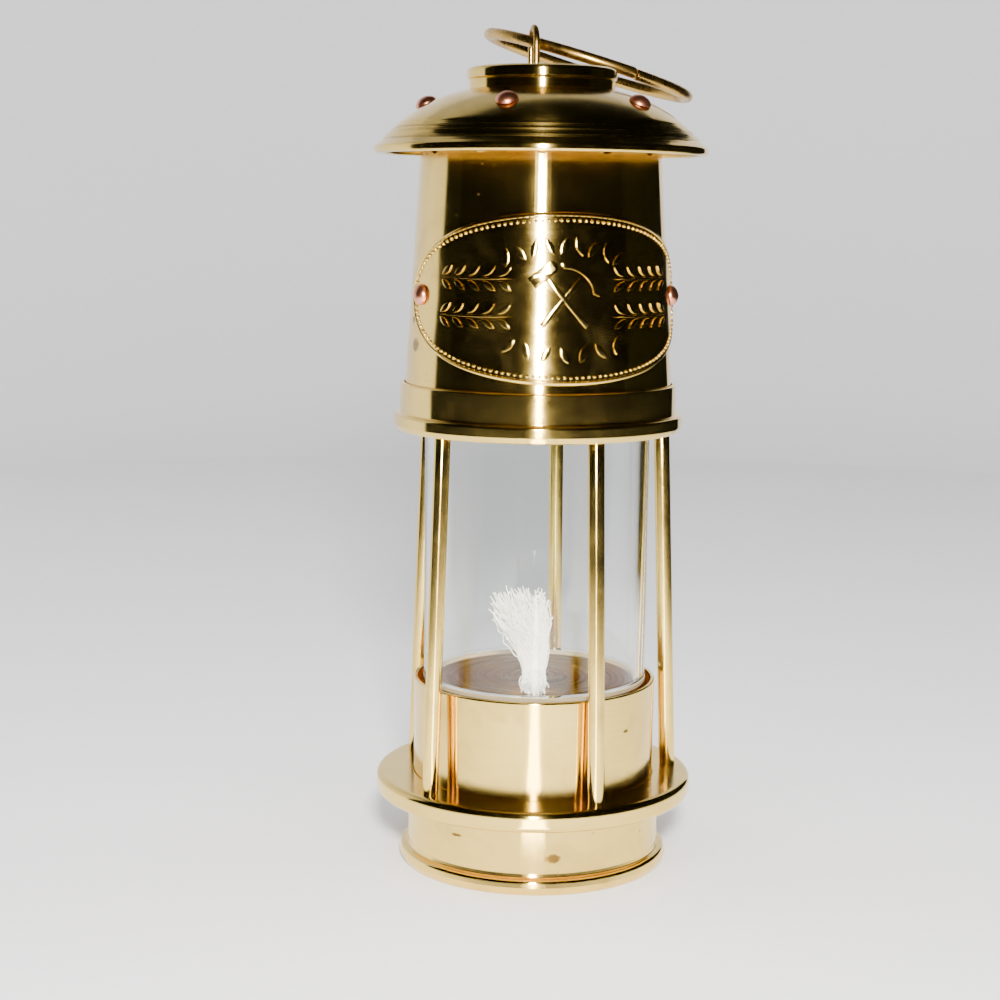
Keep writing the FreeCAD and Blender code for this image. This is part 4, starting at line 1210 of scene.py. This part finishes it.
def bent_relief(plate, name, shapes, rise, ease=0.18 * MM):
    """Raised flat shapes, each a list of (s, t) corners, bevelled and bent onto the plate."""
    work = bmesh.new()
    for shape in shapes:
        low_row = [work.verts.new((s, t, 0.0)) for s, t in shape]
        face = work.faces.new(low_row)
        if clockwise(shape):
            face.normal_flip()
        grown = bmesh.ops.extrude_face_region(work, geom=[face])
        lifted = [item for item in grown["geom"] if isinstance(item, bmesh.types.BMVert)]
        bmesh.ops.translate(work, verts=lifted, vec=(0, 0, rise))
        tops = [item for item in grown["geom"] if isinstance(item, bmesh.types.BMEdge)]
        bmesh.ops.bevel(work, geom=tops, offset=ease, segments=2, affect="EDGES", profile=0.6)
    bmesh.ops.triangulate(work, faces=[f for f in work.faces if len(f.verts) > 4])
    long_edges = [e for e in work.edges if e.calc_length() > 3.0 * MM]
    bmesh.ops.subdivide_edges(work, edges=long_edges, cuts=3)
    bmesh.ops.recalc_face_normals(work, faces=work.faces)
    for vertex in work.verts:
        vertex.co = plate.bend(vertex.co.x, vertex.co.y, plate.thick - 0.05 * MM + vertex.co.z)
    mesh = bpy.data.meshes.new(name)
    work.to_mesh(mesh)
    work.free()
    smooth(mesh, 40)
    return object_from(name, mesh)


def clockwise(shape):
    """Whether a closed outline runs clockwise."""
    area = sum(a[0] * b[1] - b[0] * a[1] for a, b in zip(shape, shape[1:] + shape[:1]))
    return area < 0


def turned_shape(shape, degrees, s=0.0, t=0.0):
    """A flat outline turned about its own origin and moved to (s, t)."""
    c, n = math.cos(math.radians(degrees)), math.sin(math.radians(degrees))
    return [(x * c - y * n + s, x * n + y * c + t) for x, y in shape]


def leaf(s, t, degrees, long, wide):
    """A pointed leaf along a direction, about (s, t) in millimetres, as metres."""
    side = [(long * (x - 0.5), wide / 2 * math.sin(math.pi * x) ** 0.8) for x in (0.0, 0.15, 0.35, 0.6, 0.85)]
    back = [(x, -y) for x, y in side[1:]][::-1]
    outline = side + [(long / 2, 0.0)] + back
    return [(x * MM, y * MM) for x, y in turned_shape(outline, degrees, s, t)]


def sprig(start, end, t, pitch=4.6):
    """A level stem with a pair of leaves every pitch, between two places on the plate in millimetres."""
    step = pitch if end > start else -pitch
    count = max(1, int(abs(end - start) / pitch))
    shapes = [leaf((start + end) / 2, t, 0, abs(end - start), 0.7)]
    for number in range(count):
        s = start + step * (number + 0.5)
        lean = 38 if step > 0 else 142
        shapes += [leaf(s, t + 2.0, lean, 4.4, 1.7), leaf(s, t - 2.0, -lean, 4.4, 1.7)]
    return shapes


def arc_of_leaves(bend, centre, spread, count, long):
    """Upright leaves along an arc of radius bend about (0, centre), spread degrees to each side."""
    shapes = []
    for number in range(count):
        turn = math.radians(90 - spread + 2 * spread * number / (count - 1))
        lean = math.degrees(turn) + (24 if number % 2 else -24)
        shapes.append(leaf(bend * math.cos(turn), centre + bend * math.sin(turn), lean, long, 2.1))
    return shapes


def pick_and_hammer(scale):
    """Outlines of a crossed pick and hammer, in the flat plate's metres."""
    shaft = [(-0.7, -8.5), (0.7, -8.5), (0.6, 6.2), (-0.6, 6.2)]
    hammer = [(-3.6, 6.2), (3.0, 6.2), (3.8, 7.0), (3.8, 8.6), (3.0, 9.4), (-3.6, 9.4)]
    upper = [(5.2 * math.sin(a) * 1.25, 8.9 - 4.6 * (1 - math.cos(a))) for a in
             (math.radians(d) for d in range(-70, 71, 10))]
    lower = [(5.2 * math.sin(a) * 1.05, 7.2 - 3.6 * (1 - math.cos(a))) for a in
             (math.radians(d) for d in range(60, -61, -10))]
    pick = upper + lower
    shapes = [turned_shape(shape, 40) for shape in (shaft, hammer)]
    shapes += [turned_shape(shape, -40) for shape in (shaft, pick)]
    return [[(x * scale * MM, y * scale * MM) for x, y in shape] for shape in shapes]


class LAMP_OT_plate(bpy.types.Operator):
    """Stamp the oval plate: bead border, crossed tools, sprigs and leaf rows, no lettering"""

    bl_idname = "lamp.plate"
    bl_label = "Name Plate"

    def execute(self, context):
        plate = Plate()
        brass = stamped_brass()
        parts = [self.sheet(plate)]
        rise = sizes().relief
        inset = 1.0 * MM
        rail = self.rail(plate, inset, 0.22 * MM)
        beads = self.beads(plate, inset + 1.3 * MM, brass)
        shapes = pick_and_hammer(1.15)
        for t in (5.4, -5.0):
            shapes += sprig(-37.0, -14.0, t)
            shapes += sprig(37.0, 14.0, t)
        shapes += arc_of_leaves(40.0, -25.4, 24, 9, 5.4)
        shapes += arc_of_leaves(-46.0, 30.6, 19, 7, 5.0)
        relief = bent_relief(plate, "plate_relief", shapes, rise)
        parts += [rail, beads, relief]
        done = join("name_plate_stamped", parts)
        finish_piece(done, "cage", brass, "stamped_brass", "name_plate")
        return {"FINISHED"}

    @staticmethod
    def sheet(plate):
        """The bent oval sheet, with an eased edge and a level field."""
        count, rings = 180, [0.0, 0.25, 0.6, 2.0, 6.0, 11.0, 16.0, 20.0]
        work = bmesh.new()
        lifts = [0.35, 0.85, 1.0, 1.0, 1.0, 1.0, 1.0, 1.0]
        rows = [[work.verts.new(plate.bend(s, t, 0.05 * MM)) for s, t in plate.edge(0.0, count)]]
        for inset, lift in zip(rings, lifts):
            rows.append([work.verts.new(plate.bend(s, t, 0.05 * MM + lift * MM))
                         for s, t in plate.edge(inset * MM, count)])
        for near, far in zip(rows, rows[1:]):
            for k in range(count):
                work.faces.new([near[k], near[(k + 1) % count], far[(k + 1) % count], far[k]])
        work.faces.new(rows[0][::-1])
        fill_oval(work, rows[-1])
        bmesh.ops.recalc_face_normals(work, faces=work.faces)
        mesh = bpy.data.meshes.new("plate_sheet")
        work.to_mesh(mesh)
        work.free()
        smooth(mesh, 35)
        return object_from("plate_sheet", mesh)

    @staticmethod
    def rail(plate, inset, radius):
        """A thin raised line that follows the plate's edge."""
        path = [plate.bend(s, t, plate.thick) for s, t in plate.edge(inset, 160)]
        return tube("plate_rail", path, radius, facets=8, closed=True)

    @staticmethod
    def beads(plate, inset, material):
        """The row of beads inside the rail."""
        path = [plate.bend(s, t, plate.thick + 0.05 * MM) for s, t in plate.edge(inset, 240)]
        mesh = bpy.data.meshes.new("bead_line")
        mesh.from_pydata(path, [(k, (k + 1) % len(path)) for k in range(len(path))], [])
        tree, ids = beads_tree()
        tree_values = {"Pitch": sizes().bead_pitch, "Bead Radius": sizes().bead_radius, "Material": material}
        return grow("plate_beads", tree, ids, tree_values, mesh)


def fill_oval(work, row):
    """Fill the middle of the plate's sheet with strips that follow its bend."""
    count = len(row)
    half = count // 2
    for k in range(half - 1):
        strip = [row[k], row[k + 1], row[count - k - 1], row[(count - k) % count]]
        work.faces.new(list(dict.fromkeys(strip)))
    work.faces.new(row[half - 1:half + 2])


# ---------------------------------------------------------------- operators: plain parts and stage

class LAMP_OT_plain_parts(bpy.types.Operator):
    """Give the frame's own shapes that stay in view, or show when the lamp is open, their finish"""

    bl_idname = "lamp.plain_parts"
    bl_label = "Inner Parts"

    def execute(self, context):
        brass, fibre, cotton = turned_brass(), pressed_fibre(), bleached_cotton()
        finishes = {
            "vessel_bottom_plate": (polished_brass(), "polished_brass"),
            "gauze_ring": (brass, "polished_brass"),
            "crown_ring": (brass, "polished_brass"),
            "lower_glass_washer": (fibre, "fibre_washer"),
            "upper_glass_washer": (fibre, "fibre_washer"),
            "burner_washer": (fibre, "fibre_washer"),
            "cotton_wadding": (cotton, "cotton"),
        }
        for node, (material, slot) in finishes.items():
            obj = frame["nodes"][node]
            obj.data.materials.clear()
            obj.data.materials.append(material)
        return {"FINISHED"}


class LampStage(bpy.types.PropertyGroup):
    """Camera of the studio."""

    lens: bpy.props.FloatProperty(
        name="Lens", description="Focal length on a 36 mm sensor", default=71.24, min=20, max=300)
    distance: length("Distance", "How far the camera stands in front of the lamp's axis", 0.5842)
    height: length("Height", "Height of the camera above the floor", 0.197)
    aside: length("Aside", "How far the camera stands to the left of the axis", 0.01085)
    pitch: bpy.props.FloatProperty(
        name="Pitch", description="How far the camera looks down", default=math.radians(8.576),
        subtype="ANGLE")
    roll: bpy.props.FloatProperty(
        name="Roll", description="How far the camera leans", default=math.radians(0.626), subtype="ANGLE")


# name, place, point it looks at and size in metres, watts, colour, then whether it is
# reflected by polished surfaces and whether it lights matt ones
LIGHTS = (
    ("overhead_soft", (0.0, -0.3, 1.2), (0, 0, 0.1), (0.8, 0.8), 11.0, "#FFFFFF", False, True),
    ("left_soft", (-1.0, 0.35, 0.7), (0, 0, 0.1), (0.7, 0.9), 9.0, "#FFFFFF", False, True),
    ("right_soft", (1.0, 0.35, 0.7), (0, 0, 0.1), (0.7, 0.9), 5.0, "#FFFFFF", False, True),
    ("front_gleam", (0.0, -0.75, 0.26), (0, 0, 0.12), (0.055, 0.24), 17.0, "#FFF6E4", True, False),
    ("low_gleam", (0.0, -0.25, 0.006), (0.0, -0.23, 1.006), (0.024, 0.34), 0.4, "#FFF3DC", True, False),
    ("front_soft", (0.02, -0.75, 0.4), (0, 0, 0.1), (0.1, 0.1), 30.0, "#FFFAF2", False, True),
)


def area_light(name, place, aim, size, watts, colour, glossy, diffuse):
    """A rectangular studio light that looks at a point."""
    data = bpy.data.lights.new(name, "AREA")
    data.shape = "RECTANGLE"
    data.size, data.size_y = size
    data.energy = watts
    data.color = linear(colour)[:3]
    light = bpy.data.objects.new(name, data)
    bpy.context.scene.collection.objects.link(light)
    look = Vector(aim) - Vector(place)
    light.matrix_world = Matrix.Translation(place) @ look.to_track_quat("-Z", "Y").to_matrix().to_4x4()
    light.visible_glossy = glossy
    light.visible_diffuse = diffuse
    light.visible_camera = False
    return light


def dark_sector(tree, way):
    """Factor that is 1 in front of the lamp and to its right, 0 behind it and to its left."""
    facing = add(tree, "ShaderNodeVectorMath", {0: way, 1: (-0.415, 0.91, 0.0)}, operation="DOT_PRODUCT")
    return add(tree, "ShaderNodeMapRange", {
        "Value": facing.outputs["Value"], "From Min": 0.53, "From Max": 0.57,
        "To Min": 1.0, "To Max": 0.0}).outputs[0]


class LAMP_OT_stage(bpy.types.Operator):
    """Set up the pale floor and sweep with its painted dark reflection, the lights, the dark world the metal
    reflects and the camera
    """

    bl_idname = "lamp.stage"
    bl_label = "Stage"

    def execute(self, context):
        self.sweep()
        self.studio(context.scene)
        for light in LIGHTS:
            area_light(*light)
        stage = context.scene.lamp_stage
        camera = bpy.data.objects.new("camera", bpy.data.cameras.new("camera"))
        context.scene.collection.objects.link(camera)
        camera.data.lens = stage.lens
        camera.data.sensor_width = 36.0
        camera.data.clip_start = 0.01
        camera.matrix_world = (
            Matrix.Translation((-stage.aside, -stage.distance, stage.height))
            @ Matrix.Rotation(math.pi / 2 - stage.pitch, 4, "X")
            @ Matrix.Rotation(stage.roll, 4, "Z"))
        context.scene.camera = camera
        return {"FINISHED"}

    @staticmethod
    def sweep():
        """A pale floor and a curved backdrop behind it; reflections see part of both as dark, a painted
        reflection.
        """
        material, tree, shader = new_material("pale_paper_sweep_painted_reflection")
        place = add(tree, "ShaderNodeTexCoord").outputs["Object"]
        tooth = add(tree, "ShaderNodeTexNoise", {"Vector": place, "Scale": 1 / (3 * MM), "Detail": 3.0})
        paper = add(tree, "ShaderNodeMix", {
            "Factor": tooth.outputs["Fac"], 6: linear("#E2E2E5"), 7: linear("#DADADE")}, data_type="RGBA")
        # painted reflection: for reflected rays only, the paper turns dark in front of the lamp and to its
        # right
        level = add(tree, "ShaderNodeVectorMath", {0: place, 1: (1, 1, 0)}, operation="MULTIPLY")
        from_axis = add(tree, "ShaderNodeVectorMath", {0: level.outputs[0]}, operation="LENGTH")
        far = add(tree, "ShaderNodeMapRange", {
            "Value": from_axis.outputs["Value"], "From Min": 0.36, "From Max": 0.5})
        way = add(tree, "ShaderNodeVectorMath", {0: level.outputs[0]}, operation="NORMALIZE")
        dark = add(tree, "ShaderNodeMath", {
            0: far.outputs[0], 1: dark_sector(tree, way.outputs[0])}, operation="MULTIPLY")
        glossy = add(tree, "ShaderNodeLightPath").outputs["Is Glossy Ray"]
        painted_reflection_mask = add(tree, "ShaderNodeMath", {0: dark.outputs[0], 1: glossy}, operation="MULTIPLY")
        shade = add(tree, "ShaderNodeMix", {
            "Factor": painted_reflection_mask.outputs[0], 6: paper.outputs[2], 7: linear(REFLECTED_DARK)}, data_type="RGBA")
        tree.links.new(shade.outputs[2], shader.inputs["Base Color"])
        shader.inputs["Roughness"].default_value = 0.8
        shader.inputs["Specular IOR Level"].default_value = 0.0
        floor_r, curve_r, wall_top = 0.95, 0.35, 1.15
        outline = [(floor_r + curve_r * math.sin(turn), curve_r * (1 - math.cos(turn)))
                   for turn in (math.pi / 2 * step / 12 for step in range(1, 13))]
        outline = [(floor_r, 0.0)] + outline + [(floor_r + curve_r, wall_top)]
        work = bmesh.new()
        steps = 96
        half_turn = math.radians(101)
        rows = []
        for r, z in outline:
            rows.append([work.verts.new((r * math.sin(a), r * math.cos(a), z)) for a in
                         (-half_turn + 2 * half_turn * k / steps for k in range(steps + 1))])
        for near, far in zip(rows, rows[1:]):
            for k in range(steps):
                work.faces.new([near[k], near[k + 1], far[k + 1], far[k]])
        disc_r, sides = 3, 64
        turns = [TAU * k / sides for k in range(sides)]
        work.faces.new([work.verts.new((disc_r * math.cos(a), disc_r * math.sin(a), 0.0)) for a in turns])
        bmesh.ops.recalc_face_normals(work, faces=work.faces)
        mesh = bpy.data.meshes.new("sweep")
        work.to_mesh(mesh)
        work.free()
        mesh.shade_smooth()
        sweep = object_from("sweep", mesh)
        sweep.data.materials.append(material)

    @staticmethod
    def studio(scene):
        """World: pale to the camera; other rays meet a dark room in front of the lamp and to its right."""
        world = bpy.data.worlds.new("studio")
        scene.world = world
        world.use_nodes = True
        tree = world.node_tree
        tree.nodes.clear()
        way = add(tree, "ShaderNodeTexCoord").outputs["Generated"]
        room = add(tree, "ShaderNodeMix", {
            "Factor": dark_sector(tree, way), 6: linear("#D8D8DA"), 7: linear(REFLECTED_DARK)}, data_type="RGBA")
        seen = add(tree, "ShaderNodeLightPath").outputs["Is Camera Ray"]
        sky = add(tree, "ShaderNodeMix", {
            "Factor": seen, 6: room.outputs[2], 7: linear("#CFCFD2")}, data_type="RGBA")
        # the room fills shadows less than it shows in the metal
        fill = add(tree, "ShaderNodeMath", {
            0: add(tree, "ShaderNodeLightPath").outputs["Is Diffuse Ray"], 1: -0.3, 2: 0.8},
            operation="MULTIPLY_ADD")
        light = add(tree, "ShaderNodeBackground", {"Color": sky.outputs[2], "Strength": fill.outputs[0]})
        add(tree, "ShaderNodeOutputWorld", {"Surface": light.outputs[0]})


# ---------------------------------------------------------------- panel and registration

OPERATORS = (
    LAMP_OT_vessel, LAMP_OT_burner, LAMP_OT_wick, LAMP_OT_glass, LAMP_OT_rings, LAMP_OT_pillars,
    LAMP_OT_bonnet, LAMP_OT_gauze, LAMP_OT_hood, LAMP_OT_rivets, LAMP_OT_hanger, LAMP_OT_plate,
    LAMP_OT_plain_parts, LAMP_OT_stage,
)
GROUPS = {"lamp_sizes": LampSizes, "lamp_colours": LampColours, "lamp_stage": LampStage}


class LAMP_PT_panel(bpy.types.Panel):
    """Lists the lamp's sizes, colours and building steps"""

    bl_idname = "LAMP_PT_panel"
    bl_label = "Safety Lamp"
    bl_space_type = "VIEW_3D"
    bl_region_type = "UI"
    bl_category = "Safety Lamp"

    def draw(self, context):
        for name, group in GROUPS.items():
            box = self.layout.box()
            for prop in group.__annotations__:
                box.prop(getattr(context.scene, name), prop)
        for operator in OPERATORS:
            self.layout.operator(operator.bl_idname)


def register():
    for cls in (*GROUPS.values(), *OPERATORS, LAMP_PT_panel):
        bpy.utils.register_class(cls)
    for name, group in GROUPS.items():
        setattr(bpy.types.Scene, name, bpy.props.PointerProperty(type=group))


def unregister():
    for name in GROUPS:
        delattr(bpy.types.Scene, name)
    for cls in (LAMP_PT_panel, *reversed(OPERATORS), *reversed(tuple(GROUPS.values()))):
        bpy.utils.unregister_class(cls)


def main():
    """Register the add-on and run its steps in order."""
    register()
    for operator in OPERATORS:
        group, name = operator.bl_idname.split(".")
        getattr(getattr(bpy.ops, group), name)()


if __name__ == "__main__":
    main()
